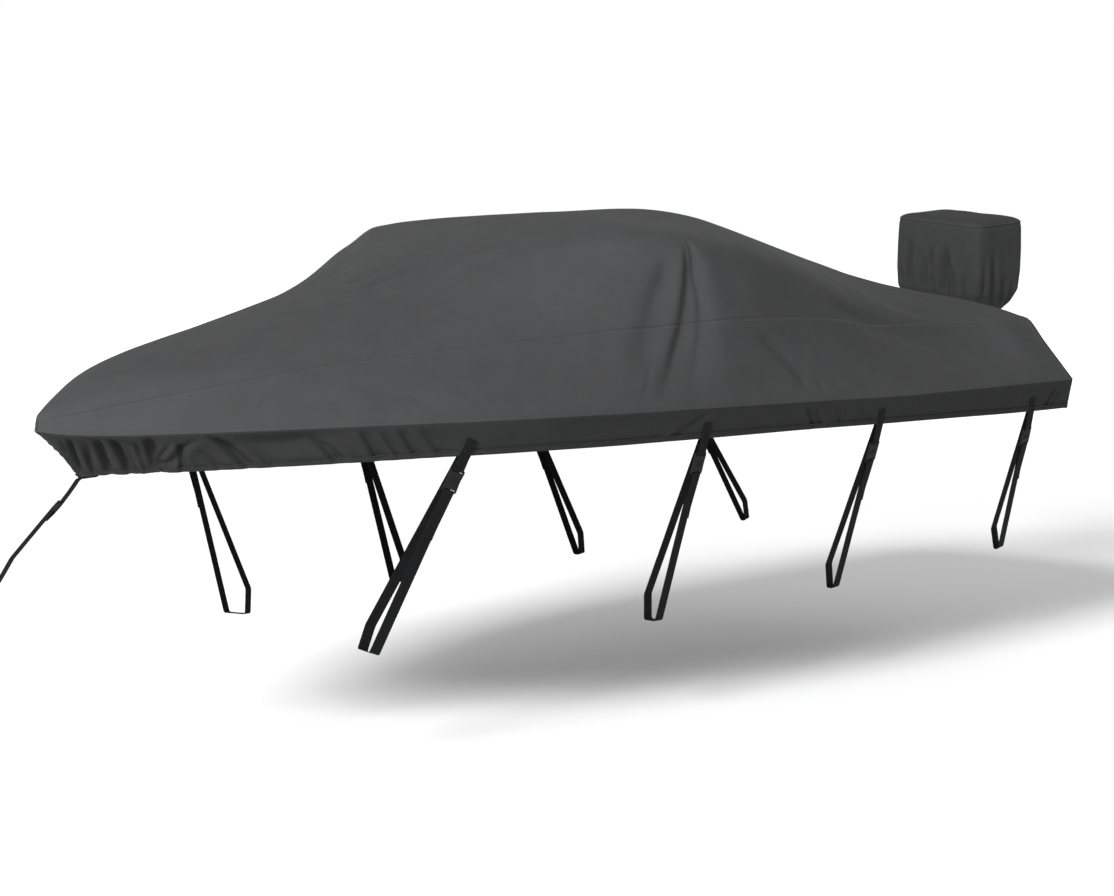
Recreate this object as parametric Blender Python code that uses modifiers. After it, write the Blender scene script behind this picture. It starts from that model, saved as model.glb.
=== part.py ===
"""Fitted trailering cover for a small motorboat, with the loose hood of its outboard motor.

+X runs aft along the boat, -Y is its port side and +Z is up. The tables give heights above the ground under
the trailer. The origin is the point under the crown cloth where the boat carries the cover, above station
HUNG_AT, so every shape is moved there before it becomes an object.
"""

import math

import bpy
import numpy as np
from mathutils import Euler, Matrix, Vector

COLLECTION = "boat_cover"

CLOTH = 0.002
SEAM_GAP = 0.0008
CLEARANCE = 0.0004
BOW_SLIT = 0.0012
HUNG_AT = 3.30

# The cover's sections, bow to stern: the gunwale line that the cloth creases over, the shoulder over the
# deck, windshield and coaming, how tightly it turns there (a smaller corner is tighter), the crown on the
# centre line, how far the cloth drops halfway to the shoulder, the lengthwise seam's height above the
# gunwale, and how far the skirt hangs below it.
STATION_COLUMNS = (
    "x", "half_beam", "gunwale_z", "shoulder_y", "shoulder_z", "corner", "crown_z", "arch", "seam_rise",
    "skirt_drop",
)
STATIONS = (
    (0.00, 0.000, 1.405, 0.000, 1.440, 0.50, 1.460, 0.30, 0.025, 0.199),
    (0.03, 0.070, 1.395, 0.055, 1.450, 0.50, 1.490, 0.30, 0.045, 0.182),
    (0.14, 0.200, 1.390, 0.140, 1.495, 0.50, 1.550, 0.30, 0.080, 0.167),
    (0.35, 0.390, 1.395, 0.270, 1.590, 0.50, 1.635, 0.30, 0.125, 0.159),
    (0.70, 0.635, 1.405, 0.430, 1.660, 0.50, 1.715, 0.30, 0.180, 0.153),
    (1.05, 0.810, 1.410, 0.520, 1.710, 0.50, 1.800, 0.30, 0.225, 0.146),
    (1.40, 0.945, 1.410, 0.575, 1.780, 0.40, 1.895, 0.30, 0.248, 0.141),
    (1.65, 1.020, 1.410, 0.590, 1.840, 0.35, 1.955, 0.24, 0.268, 0.140),
    (1.90, 1.075, 1.410, 0.635, 1.955, 0.30, 2.045, 0.20, 0.288, 0.139),
    (2.15, 1.105, 1.405, 0.710, 2.075, 0.25, 2.130, 0.24, 0.310, 0.136),
    (2.40, 1.135, 1.405, 0.860, 2.160, 0.20, 2.190, 0.28, 0.330, 0.135),
    (2.70, 1.155, 1.400, 0.990, 2.140, 0.20, 2.220, 0.30, 0.350, 0.132),
    (3.10, 1.170, 1.395, 0.965, 2.070, 0.30, 2.245, 0.38, 0.355, 0.129),
    (3.45, 1.175, 1.390, 0.890, 2.010, 0.40, 2.270, 0.38, 0.345, 0.129),
    (3.80, 1.175, 1.380, 0.835, 1.900, 0.40, 2.195, 0.42, 0.325, 0.127),
    (4.20, 1.175, 1.380, 0.810, 1.760, 0.40, 2.105, 0.42, 0.300, 0.132),
    (4.60, 1.170, 1.380, 0.825, 1.670, 0.30, 2.000, 0.38, 0.285, 0.140),
    (5.00, 1.165, 1.380, 0.855, 1.660, 0.30, 1.885, 0.28, 0.275, 0.147),
    (5.36, 1.165, 1.380, 0.895, 1.685, 0.30, 1.795, 0.14, 0.270, 0.147),
)

# The hem follows the hull, which rakes aft under the bow, hollow there, and turns in under the gunwale.
BOW_RAKE, BOW_RAKE_FADE = 0.184, 0.48
BOW_HOLLOW, BOW_HOLLOW_FADE = 0.012, 0.10
SIDE_TUCK, BOW_TUCK, BOW_TUCK_FADE = 0.030, 0.035, 0.90

# How closely the sections are cut: close where folds hang below the windshield's corners.
STRETCH_COLUMNS = ("to_x", "step")
STRETCHES = ((0.20, 0.034), (2.12, 0.120), (2.78, 0.037), (3.40, 0.078), (5.36, 0.180))
SKIRT_STRETCHES = ((1.10, 0.024), (5.36, 0.120))
SIDE_ROWS, SKIRT_ROWS = 5, 3
TOP_SHARES = (0.11, 0.21, 0.32, 0.48, 0.70, 1.00)
CROWN_V = 4.0

# Folds that hang on the sides, each a bent line from (x, z) through a middle to an end, with its breadth and
# its depth; a ridge has a negative depth. The starboard ones are the port ones, a little shorter.
FOLD_COLUMNS = ("x_from", "z_from", "x_mid", "z_mid", "x_to", "z_to", "breadth", "depth")
HANGING_FOLDS = (
    (2.62, 2.06, 2.56, 1.86, 2.34, 1.46, 0.030, 0.026),
    (2.51, 2.00, 2.37, 1.80, 2.23, 1.55, 0.045, 0.016),
    (2.65, 2.08, 2.67, 1.86, 2.49, 1.50, 0.030, 0.015),
    (2.58, 1.98, 2.47, 1.78, 2.32, 1.52, 0.035, -0.010),
    (2.98, 1.74, 3.11, 1.60, 3.21, 1.43, 0.045, 0.012),
)
STARBOARD_FOLD_SHARE = 0.8

# Gathers in the skirt: where each leaves the gunwale and where it meets the hem, both as stations, how far
# down it starts as a share of the skirt, its breadth and its depth.
GATHER_COLUMNS = ("x_top", "x_hem", "start", "breadth", "depth")
PORT_GATHERS = (
    (0.10, 0.03, 0.15, 0.020, 0.012),
    (0.13, 0.09, 0.10, 0.020, 0.014),
    (0.20, 0.17, 0.15, 0.022, 0.014),
    (0.27, 0.22, 0.05, 0.034, 0.016),
    (0.33, 0.27, 0.25, 0.020, 0.010),
    (0.36, 0.34, 0.20, 0.022, 0.014),
    (0.38, 0.50, 0.00, 0.020, 0.014),
    (0.75, 0.82, 0.30, 0.024, 0.012),
    (0.91, 0.94, 0.10, 0.026, 0.010),
    (1.03, 1.06, 0.10, 0.024, 0.010),
    (2.58, 2.35, 0.10, 0.030, 0.008),
    (3.20, 3.31, 0.05, 0.034, 0.012),
    (5.24, 5.14, 0.10, 0.026, 0.010),
)
HEM_DRAW = 0.006

# The hood's rings, from the hem up: height over its hem, breadth and length as shares of the hood's.
HOOD_COLUMNS = ("height", "across", "along")
HOOD_RINGS = (
    (0.000, 0.66, 0.62),
    (0.060, 0.86, 0.84),
    (0.130, 0.97, 0.97),
    (0.230, 1.00, 1.00),
    (0.360, 1.00, 1.00),
    (0.470, 0.99, 0.98),
    (0.500, 0.97, 0.95),
)
HOOD_TOP_RINGS = ((0.5015, 0.965, 0.945), (0.520, 0.90, 0.87), (0.530, 0.65, 0.62), (0.534, 0.33, 0.31))
HOOD_ACROSS, HOOD_ALONG, HOOD_CROWN = 0.605, 0.425, 0.536
HOOD_SQUARENESS = 5.5
HOOD_SIDES = 24
HOOD_AT = (6.090, 0.030, 1.664)
HOOD_TURN = (math.radians(5.0), math.radians(-4.5), math.radians(-5.0))

# The straps: the station where each is sewn, the lower outer corner of the trailer member that it is drawn
# round and that member's width, and how far below the hem its buckle hangs.
STRAP_COLUMNS = ("name", "side", "x", "foot_x", "foot_y", "foot_z", "foot_wide", "buckle_drop")
STRAPS = (
    ("port_1", -1, 1.378, 1.155, 0.60, 0.475, 0.105, 0.108),
    ("port_2", -1, 2.575, 2.595, 0.84, 0.460, 0.065, 0.114),
    ("port_3", -1, 3.775, 3.870, 0.83, 0.460, 0.035, 0.140),
    ("port_4", -1, 5.040, 5.235, 0.84, 0.510, 0.025, 0.142),
    ("starboard_1", 1, 1.378, 1.400, 0.62, 0.475, 0.105, 0.108),
    ("starboard_2", 1, 2.575, 2.595, 0.84, 0.460, 0.065, 0.114),
    ("starboard_3", 1, 3.775, 3.870, 0.83, 0.460, 0.035, 0.140),
    ("starboard_4", 1, 5.040, 5.235, 0.84, 0.510, 0.025, 0.142),
)
FOOT_TALL = 0.110
WEBBING, WEBBING_THICK = 0.048, 0.0022
TAB_ABOVE_HEM, TAB_BACK, SEWN_INSIDE = 0.074, 0.016, 0.030
TAIL = 0.210
HEM_STAND, BUCKLE_STAND = 0.0007, 0.004
FOOT_BEND, BAR_BEND, SOFT_BEND = 0.010, 0.002, 0.008

# A buckle's rows, bottom to top, as shares of its half length, half width and half thickness: the slots lie
# between the second and third and between the sixth and seventh.
BUCKLE_COLUMNS = ("height", "half_width", "half_thick")
BUCKLE_ROWS = (
    (-1.00, 0.95, 0.54), (-0.88, 1.00, 0.54), (-0.68, 1.00, 0.70), (-0.14, 0.88, 1.00),
    (0.14, 0.88, 1.00), (0.68, 1.00, 0.70), (0.88, 1.00, 0.54), (1.00, 0.95, 0.54),
)
BUCKLE_SLOT_ROWS = (1, 5)
BUCKLE_SLOT = 0.81
BUCKLE_SIZE = (0.066, 0.013, 0.097)
BUCKLE_ROUND = 0.0009

# The bow strap runs on the centre line, from above the hem, close under its edge and down to the winch post:
# (x, z) of each bend.
BOW_STRAP_LINE = (
    (0.286, 1.236), (0.264, 1.2103), (0.184, 1.2083), (0.143, 1.163), (-0.124, 0.934), (-0.160, 0.885),
    (-0.250, 0.770),
)
BOW_WEBBING = 0.030
BOW_BUCKLE_SIZE = (0.040, 0.009, 0.044)
BOW_BUCKLE_FROM_BEND = 0.085
BOW_TAIL = 0.050

MATERIALS = {
    "cover_cloth": ((0.075, 0.076, 0.078, 1.0), 0.82, 0.0),
    "webbing": ((0.012, 0.012, 0.013, 1.0), 0.75, 0.0),
    "buckle_plastic": ((0.010, 0.010, 0.011, 1.0), 0.45, 0.0),
}


def clear_scene():
    for obj in list(bpy.data.objects):
        bpy.data.objects.remove(obj, do_unlink=True)


def material(name):
    found = bpy.data.materials.get(name)
    if found:
        return found
    colour, roughness, metallic = MATERIALS[name]
    made = bpy.data.materials.new(name)
    made.use_nodes = True
    shader = made.node_tree.nodes["Principled BSDF"]
    shader.inputs["Base Color"].default_value = colour
    shader.inputs["Roughness"].default_value = roughness
    shader.inputs["Metallic"].default_value = metallic
    return made


def add_object(name, points, faces, material_name):
    """A mesh object in the cover's collection, moved so that the hanging point is the origin."""
    mesh = bpy.data.meshes.new(name)
    mesh.from_pydata([tuple(p) for p in points], [], faces)
    mesh.materials.append(material(material_name))
    mesh.shade_smooth()
    mesh.set_sharp_from_angle(angle=math.radians(40))
    obj = bpy.data.objects.new(name, mesh)
    bpy.data.collections[COLLECTION].objects.link(obj)
    return obj


def thicken(obj, thickness, offset=-1.0):
    """Gives a sheet its thickness: offset -1 puts it all behind the sheet's face, 0 half on each side."""
    solid = obj.modifiers.new("thickness", "SOLIDIFY")
    solid.thickness = thickness
    solid.offset = offset
    solid.use_even_offset = False
    return obj


def grid_faces(rows, columns, outward_is_reverse=False, closed=False):
    """Quads between neighbouring rows and columns; a closed grid joins its last column to its first."""
    faces = []
    for i in range(rows - 1):
        for j in range(columns if closed else columns - 1):
            k = (j + 1) % columns
            quad = (i * columns + j, (i + 1) * columns + j, (i + 1) * columns + k, i * columns + k)
            faces.append(quad[:1] + quad[:0:-1] if outward_is_reverse else quad)
    return faces


def add_sheet(name, grid, material_name, thickness, outward_is_reverse=False):
    rows, columns = grid.shape[:2]
    faces = grid_faces(rows, columns, outward_is_reverse)
    return thicken(add_object(name, (grid - HANG_POINT).reshape(-1, 3), faces, material_name), thickness)


# ---- the fitted surface ----


def spline_weights(where, count):
    """Weights of count control points on a uniform cubic spline that starts and ends on its end points."""
    where = np.atleast_1d(np.asarray(where, float))
    first = np.clip(np.floor(where).astype(int), 0, count - 2)
    f = where - first
    four = np.stack([(1 - f) ** 3, 3 * f**3 - 6 * f**2 + 4, 1 + 3 * f + 3 * f**2 - 3 * f**3, f**3], 1) / 6
    padded = np.zeros((len(where), count + 2))
    for k in range(4):
        padded[np.arange(len(where)), first + k] += four[:, k]
    weights = padded[:, 1:-1].copy()
    weights[:, 0] += 2 * padded[:, 0]
    weights[:, 1] -= padded[:, 0]
    weights[:, -1] += 2 * padded[:, -1]
    weights[:, -2] -= padded[:, -1]
    return weights


def station(name):
    return np.array(STATIONS)[:, STATION_COLUMNS.index(name)]


def section_controls():
    """Control points of every section, port gunwale over the crown to starboard gunwale: (stations, 9, 3)."""
    gunwale = np.stack([station("half_beam"), station("gunwale_z")], 1)
    shoulder = np.stack([station("shoulder_y"), station("shoulder_z")], 1)
    crown = np.stack([0 * station("x"), station("crown_z")], 1)
    below = shoulder + (gunwale - shoulder) * station("corner")[:, None]
    halfway_z = station("crown_z") - station("arch") * (station("crown_z") - station("shoulder_z"))
    halfway = np.stack([station("shoulder_y") / 2, halfway_z], 1)
    half = np.stack([gunwale, below, shoulder, halfway, crown], 1)
    port = half * (-1, 1)
    across = np.concatenate([port, half[:, -2::-1]], 1)
    along = np.repeat(station("x")[:, None, None], across.shape[1], 1)
    return np.concatenate([along, across], 2)


def along_at(x):
    """The spline's own coordinate, in stations, at each x."""
    fine = np.linspace(0, len(STATIONS) - 1, 1901)
    return np.interp(x, spline_weights(fine, len(STATIONS)) @ station("x"), fine)


def sections_at(along):
    return np.einsum("as,skc->akc", spline_weights(along, len(STATIONS)), section_controls())


def cover_points(along, v):
    """Points at (along, v): v has one row per section, 0 at the port gunwale and 2 * CROWN_V at starboard."""
    weights = spline_weights(v.ravel(), 9).reshape(*v.shape, 9)
    return np.einsum("avk,akc->avc", weights, sections_at(along))


def at_stations(name, along):
    return spline_weights(along, len(STATIONS)) @ station(name)


def seam_v(along):
    """Where the lengthwise seam crosses each section, as v on the port side."""
    fine = np.linspace(0, CROWN_V, 161)
    heights = cover_points(along, np.tile(fine, (len(along), 1)))[:, :, 2]
    wanted = heights[:, 0] + at_stations("seam_rise", along)
    return np.array([np.interp(z, row, fine) for z, row in zip(wanted, heights)])


def unit(vector):
    return vector / np.linalg.norm(vector)


def facings(grid):
    normals = np.cross(np.gradient(grid, axis=0), np.gradient(grid, axis=1))
    return normals / np.maximum(np.linalg.norm(normals, axis=2, keepdims=True), 1e-12)


def bent_line(start, middle, end, count=13):
    """Points of the curve through three points."""
    t = np.linspace(0, 1, count)[:, None]
    start, middle, end = (np.array(p, float) for p in (start, middle, end))
    pull = 2 * middle - (start + end) / 2
    return (1 - t) ** 2 * start + 2 * t * (1 - t) * pull + t**2 * end


def along_and_off(points, line):
    """How far along a line, from 0 to 1, each point's nearest place is, and how far off the point lies."""
    best_off = np.full(points.shape[:-1], np.inf)
    best_along = np.zeros(points.shape[:-1])
    for k, (a, b) in enumerate(zip(line[:-1], line[1:])):
        share = np.clip(((points - a) @ (b - a)) / ((b - a) @ (b - a)), 0, 1)
        off = np.linalg.norm(points - a - share[..., None] * (b - a), axis=-1)
        nearer = off < best_off
        best_off = np.where(nearer, off, best_off)
        best_along = np.where(nearer, (k + share) / (len(line) - 1), best_along)
    return best_along, best_off


def fade(x, start, end):
    t = np.clip((x - start) / (end - start), 0, 1)
    return t * t * (3 - 2 * t)


def side_relief(grid):
    """How far each point of the surface lies in, from the folds that hang on the two sides."""
    depth = np.zeros(grid.shape[:2])
    for x0, z0, x1, z1, x2, z2, breadth, fold_depth in HANGING_FOLDS:
        share, off = along_and_off(grid[:, :, [0, 2]], bent_line((x0, z0), (x1, z1), (x2, z2)))
        profile = np.exp(-((off / breadth) ** 2)) * fade(share, 0, 0.12) * (1 - 0.75 * fade(share, 0.6, 1))
        on_side = np.where(grid[:, :, 1] < 0, 1.0, STARBOARD_FOLD_SHARE) * (np.abs(grid[:, :, 1]) > 0.5)
        depth += fold_depth * profile * on_side
    return depth


def cut_places(stretches):
    """Station x of each cut, evenly spread within each stretch."""
    places = [0.0]
    for to_x, step in stretches:
        count = max(1, round((to_x - places[-1]) / step))
        places += list(np.linspace(places[-1], to_x, count + 1)[1:])
    return np.array(places)


def cover_grid():
    """The whole upper surface with its folds, and the columns where the two seams run."""
    along = along_at(cut_places(STRETCHES))
    seam = seam_v(along)[:, None]
    side = np.linspace(0, 1, SIDE_ROWS + 1)
    half = np.concatenate([seam * side, seam + (CROWN_V - seam) * np.array(TOP_SHARES)], 1)
    v = np.concatenate([half, 2 * CROWN_V - half[:, -2::-1]], 1)
    grid = cover_points(along, v)
    at_crease = np.clip(np.minimum(v, 2 * CROWN_V - v) / 0.15, 0, 1)
    grid = grid - facings(grid) * (side_relief(grid) * at_crease)[:, :, None]
    middle = SIDE_ROWS + len(TOP_SHARES)
    grid[0, :middle, 1] = -BOW_SLIT
    grid[0, middle + 1 :, 1] = BOW_SLIT
    return grid


def draw_back(edge, inner, distance):
    """Moves an edge row of points towards the next row."""
    step = inner - edge
    return edge + step * (distance / np.linalg.norm(step, axis=-1, keepdims=True))


def add_panels():
    grid = cover_grid()
    port_seam, starboard_seam = SIDE_ROWS, SIDE_ROWS + 2 * len(TOP_SHARES)
    panels = {
        "port_panel": (0, port_seam),
        "top_panel": (port_seam, starboard_seam),
        "starboard_panel": (starboard_seam, grid.shape[1] - 1),
    }
    for name, (first, last) in panels.items():
        panel = grid[:, first : last + 1].copy()
        if name != "port_panel":
            panel[:, 0] = draw_back(panel[:, 0], panel[:, 1], SEAM_GAP / 2)
        if name != "starboard_panel":
            panel[:, -1] = draw_back(panel[:, -1], panel[:, -2], SEAM_GAP / 2)
        add_sheet(name, panel, "cover_cloth", CLOTH)


# ---- the skirt ----


def hem_points(along):
    """The port hem below each section."""
    x, half_beam = at_stations("x", along), at_stations("half_beam", along)
    tuck = np.minimum(half_beam / 2, SIDE_TUCK + BOW_TUCK * np.exp(-x / BOW_TUCK_FADE))
    hem_x = x + BOW_RAKE * np.exp(-x / BOW_RAKE_FADE)
    hem_z = at_stations("gunwale_z", along) - at_stations("skirt_drop", along)
    return np.stack([hem_x, -(half_beam - tuck), hem_z], 1)


def skirt_grid():
    """The port skirt, gunwale to hem, lapped inside the side panel's edge and gathered towards the hem."""
    x = cut_places(SKIRT_STRETCHES)
    along = along_at(x)
    panel = cover_grid()
    panel_edge, panel_next = panel[:, 0], panel[:, 1]
    edge = np.stack([np.interp(x, panel_edge[:, 0], panel_edge[:, k]) for k in range(3)], 1)
    inner = np.stack([np.interp(x, panel_edge[:, 0], panel_next[:, k]) for k in range(3)], 1)
    panel_out = np.cross(np.gradient(edge, axis=0), inner - edge)
    panel_out /= np.linalg.norm(panel_out, axis=1, keepdims=True)
    top = edge - panel_out * (CLOTH + 3 * CLEARANCE)
    hem = hem_points(along)
    down = np.linspace(0, 1, SKIRT_ROWS + 1)
    grid = top[:, None] + (hem - top)[:, None] * down[None, :, None]
    run = np.concatenate([[0], np.cumsum(np.linalg.norm(np.diff(edge, axis=0), axis=1))])
    height = np.linalg.norm(hem - top, axis=1)[:, None]
    depth = HEM_DRAW * down**2 + BOW_HOLLOW * np.sin(math.pi * down) * np.exp(-x / BOW_HOLLOW_FADE)[:, None]
    for x_top, x_hem, start, breadth, gather_depth in PORT_GATHERS:
        run_top, run_hem = np.interp((x_top, x_hem), x, run)
        place = np.stack(np.broadcast_arrays(run[:, None], down[None, :] * height), -1)
        line = np.array([(run_top, start * height.mean()), (run_hem, height.mean())])
        _, off = along_and_off(place, line)
        depth = depth + gather_depth * np.exp(-((off / breadth) ** 2)) * fade(down, start * 0.5, start + 0.35)
    grid = grid + facings(grid) * depth[:, :, None]
    grid[0, :, 1] = -BOW_SLIT - CLEARANCE / 2
    return grid


def add_skirts():
    port = skirt_grid()
    add_sheet("port_skirt", port, "cover_cloth", CLOTH, outward_is_reverse=True)
    add_sheet("starboard_skirt", port * (1, -1, 1), "cover_cloth", CLOTH)


def add_transom():
    """The flat end cloth, from the last section's edge down to the hem."""
    last = cover_grid()[-1]
    hem = skirt_grid()[-1, -1]
    drop = np.linspace(0, 1, 4)[:, None]
    top = last + (CLOTH + SEAM_GAP, 0, 0)
    bottom = np.stack([top[:, 0], top[:, 1] * (-hem[1] / -last[0, 1]), np.full(len(top), hem[2])], 1)
    grid = top[None] + (bottom - top)[None] * drop[:, :, None]
    add_sheet("transom_panel", grid, "cover_cloth", CLOTH)


# ---- the motor hood ----


def hood_ring(height, across, along):
    angles = np.linspace(0, 2 * math.pi, HOOD_SIDES, endpoint=False)
    power = 2 / HOOD_SQUARENESS
    x = HOOD_ALONG / 2 * along * np.sign(np.cos(angles)) * np.abs(np.cos(angles)) ** power
    y = HOOD_ACROSS / 2 * across * np.sign(np.sin(angles)) * np.abs(np.sin(angles)) ** power
    return np.stack([x, y, np.full(HOOD_SIDES, height)], 1)


def add_hood():
    place = Matrix.LocRotScale(Vector(HOOD_AT) - Vector(HANG_POINT), Euler(HOOD_TURN), None)
    band = np.array([hood_ring(*ring) for ring in HOOD_RINGS])
    faces = grid_faces(len(HOOD_RINGS), HOOD_SIDES, outward_is_reverse=True, closed=True)
    thicken(add_object("hood_band", band.reshape(-1, 3), faces, "cover_cloth"), CLOTH).matrix_world = place

    rings = np.array([hood_ring(*ring) for ring in HOOD_TOP_RINGS])
    faces = grid_faces(len(HOOD_TOP_RINGS), HOOD_SIDES, outward_is_reverse=True, closed=True)
    points = np.concatenate([rings.reshape(-1, 3), [(0, 0, HOOD_CROWN)]])
    last = (len(HOOD_TOP_RINGS) - 1) * HOOD_SIDES
    faces += [(last + j, last + (j + 1) % HOOD_SIDES, len(points) - 1) for j in range(HOOD_SIDES)]
    thicken(add_object("hood_top", points, faces, "cover_cloth"), CLOTH).matrix_world = place


# ---- straps and buckles ----


def rounded(line, radii, steps=2):
    """A line of points with each inner corner replaced by a short bend of its own radius."""
    line = [np.array(p, float) for p in line]
    out = [line[0]]
    t = np.linspace(0, 1, steps + 1)[:, None]
    for before, corner, after, radius in zip(line[:-2], line[1:-1], line[2:], radii):
        come = corner + (before - corner) * (radius / np.linalg.norm(before - corner))
        leave = corner + (after - corner) * (radius / np.linalg.norm(after - corner))
        out += list((1 - t) ** 2 * come + 2 * t * (1 - t) * corner + t**2 * leave)
    return np.array(out + [line[-1]])


def add_webbing(name, line, across, width):
    """A flat strap centred on a line of points, its width along the direction across."""
    grid = np.stack([line - across * (width / 2), line + across * (width / 2)], 1) - HANG_POINT
    obj = add_object(name, grid.reshape(-1, 3), grid_faces(len(line), 2), "webbing")
    return thicken(obj, WEBBING_THICK, 0.0)


def is_slot(row, column):
    return column == 1 and row in BUCKLE_SLOT_ROWS


def add_buckle(name, size, centre, across, down, out):
    """A buckle with a slot at each end: a plate of cells, without those at the slots."""
    half_width, half_thick, half_tall = (side / 2 for side in size)
    places = [(share * half_width * width, sign * thick * half_thick, height * half_tall)
              for height, width, thick in BUCKLE_ROWS
              for sign in (-1, 1)
              for share in (-1, -BUCKLE_SLOT, BUCKLE_SLOT, 1)]
    rows, front, columns = len(BUCKLE_ROWS), 4, 4
    faces = []
    for i in range(rows - 1):
        for j in range(columns - 1):
            if is_slot(i, j):
                continue
            low, high = 2 * columns * i + j, 2 * columns * (i + 1) + j
            faces.append((low, low + 1, high + 1, high))
            faces.append((low + front, high + front, high + front + 1, low + front + 1))
            if j == 0 or is_slot(i, j - 1):
                faces.append((low, high, high + front, low + front))
            if j == columns - 2 or is_slot(i, j + 1):
                faces.append((low + 1, low + front + 1, high + front + 1, high + 1))
            if i == 0 or is_slot(i - 1, j):
                faces.append((low, low + front, low + front + 1, low + 1))
            if i == rows - 2 or is_slot(i + 1, j):
                faces.append((high, high + 1, high + front + 1, high + front))
    axes = np.stack([across, -out, -down])
    if np.linalg.det(axes) < 0:
        faces = [face[::-1] for face in faces]
    obj = add_object(name, np.array(places) @ axes + centre - HANG_POINT, faces, "buckle_plastic")
    bevel = obj.modifiers.new("rounded_edges", "BEVEL")
    bevel.width = BUCKLE_ROUND
    bevel.segments = 1
    return obj


def bar_places(size):
    """How far from a buckle's middle its bars lie, and how far off a bar's middle the webbing turns."""
    outer, inner = BUCKLE_ROWS[-1][0], BUCKLE_ROWS[-2][0]
    middle = (outer + inner) / 2 * size[2] / 2
    turn = WEBBING_THICK / 2 + CLEARANCE
    beyond = (outer - inner) / 2 * size[2] / 2 + turn
    beside = BUCKLE_ROWS[-1][2] * size[1] / 2 + turn
    return middle, beyond, beside


def skirt_line(skirt, x, tangent, choose):
    """The skirt's face at station x, hem first: the outermost or innermost of three places across webbing."""
    line = []
    for row in skirt.swapaxes(0, 1)[::-1]:
        places = x + np.array([-0.75, 0, 0.75]) * WEBBING
        y = np.interp(places, row[:, 0], row[:, 1]) - (places - x) * tangent[1] / tangent[0]
        line.append((x, choose(y), np.interp(x, row[:, 0], row[:, 2])))
    return np.array(line)


def add_strap(name, side, x, foot_x, foot_y, foot_z, foot_wide, buckle_drop):
    """A sewn tab, its buckle and the webbing drawn round its foot, worked out on the port side."""
    mirror = np.array([1, -side, 1])
    skirt = skirt_grid()
    ends = [skirt_line(skirt, x + step, (1, 0, 0), np.median)[0] for step in (-WEBBING, WEBBING)]
    tangent = unit(ends[1] - ends[0])
    outside = skirt_line(skirt, x, tangent, np.min)
    inside = skirt_line(skirt, x, tangent, np.max)
    hem = outside[0]
    foot = np.array([foot_x, -foot_y, foot_z])
    down = unit(foot - hem)
    across = unit(tangent - (tangent @ down) * down)
    out = np.cross(down, across)

    def place(s, d):
        """s down from the hem, d outwards."""
        return hem + down * s + out * d

    def on_skirt(face, distance, offset):
        """A point on the skirt's face that far above the hem, and off it outwards."""
        rise = np.concatenate([[0], np.cumsum(np.linalg.norm(np.diff(face, axis=0), axis=1))])
        low = np.searchsorted(rise, distance, side="right") - 1
        upward = unit(face[low + 1] - face[low])
        skirt_out = unit(np.cross(tangent, upward))
        lean = unit(skirt_out * (down @ skirt_out) - down) - upward
        return face[low] + upward * (distance - rise[low]) + lean * distance + skirt_out * offset

    middle, beyond, beside = bar_places(BUCKLE_SIZE)
    near = WEBBING_THICK / 2 + CLEARANCE
    lap = WEBBING_THICK + CLEARANCE
    buckle_d = near - beside + BUCKLE_STAND
    top_bar, low_bar = buckle_drop - middle, buckle_drop + middle

    tab = [
        on_skirt(outside, TAB_ABOVE_HEM, near + 3 * CLEARANCE),
        on_skirt(outside, TAB_ABOVE_HEM / 2, near + 3 * CLEARANCE),
        place(0, near + HEM_STAND),
        place(top_bar - beyond * 2, buckle_d + beside),
        place(top_bar + beyond, buckle_d + beside),
        place(top_bar + beyond, buckle_d - beside),
        place(top_bar - beyond * 2, buckle_d - beside),
        place(TAB_BACK, near - lap),
    ]
    line = rounded(tab, (SOFT_BEND, SOFT_BEND, SOFT_BEND / 2, BAR_BEND, BAR_BEND, SOFT_BEND / 2))
    add_webbing(f"tab_{name}", line * mirror, across * mirror, WEBBING)

    def foot_corner(inboard, above):
        corner = foot + unit(np.array([-across[1], across[0], 0])) * inboard + (0, 0, above) - hem
        return corner @ down, corner @ out

    length = np.linalg.norm(foot - hem)
    tail_end = low_bar + TAIL
    run_there = (buckle_d - beside) * (1 - (tail_end - low_bar) / (length - low_bar))
    behind = CLOTH + 2 * CLEARANCE + near
    strap = [
        on_skirt(inside, SEWN_INSIDE, -behind),
        on_skirt(inside, 0.0, -behind),
        place(*foot_corner(foot_wide, FOOT_TALL)),
        place(*foot_corner(foot_wide, 0)),
        place(length, 0),
        place(low_bar + beyond * 2, buckle_d - beside),
        place(low_bar - beyond, buckle_d - beside),
        place(low_bar - beyond, buckle_d + beside),
        place(low_bar + beyond * 2, buckle_d + beside),
        place(tail_end, run_there + lap),
    ]
    bends = (SOFT_BEND, FOOT_BEND, FOOT_BEND, FOOT_BEND, SOFT_BEND / 2, BAR_BEND, BAR_BEND, SOFT_BEND / 2)
    add_webbing(f"strap_{name}", rounded(strap, bends) * mirror, across * mirror, WEBBING)
    centre = place(buckle_drop, buckle_d)
    add_buckle(f"buckle_{name}", BUCKLE_SIZE, centre * mirror, across * mirror, down * mirror, out * mirror)


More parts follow.
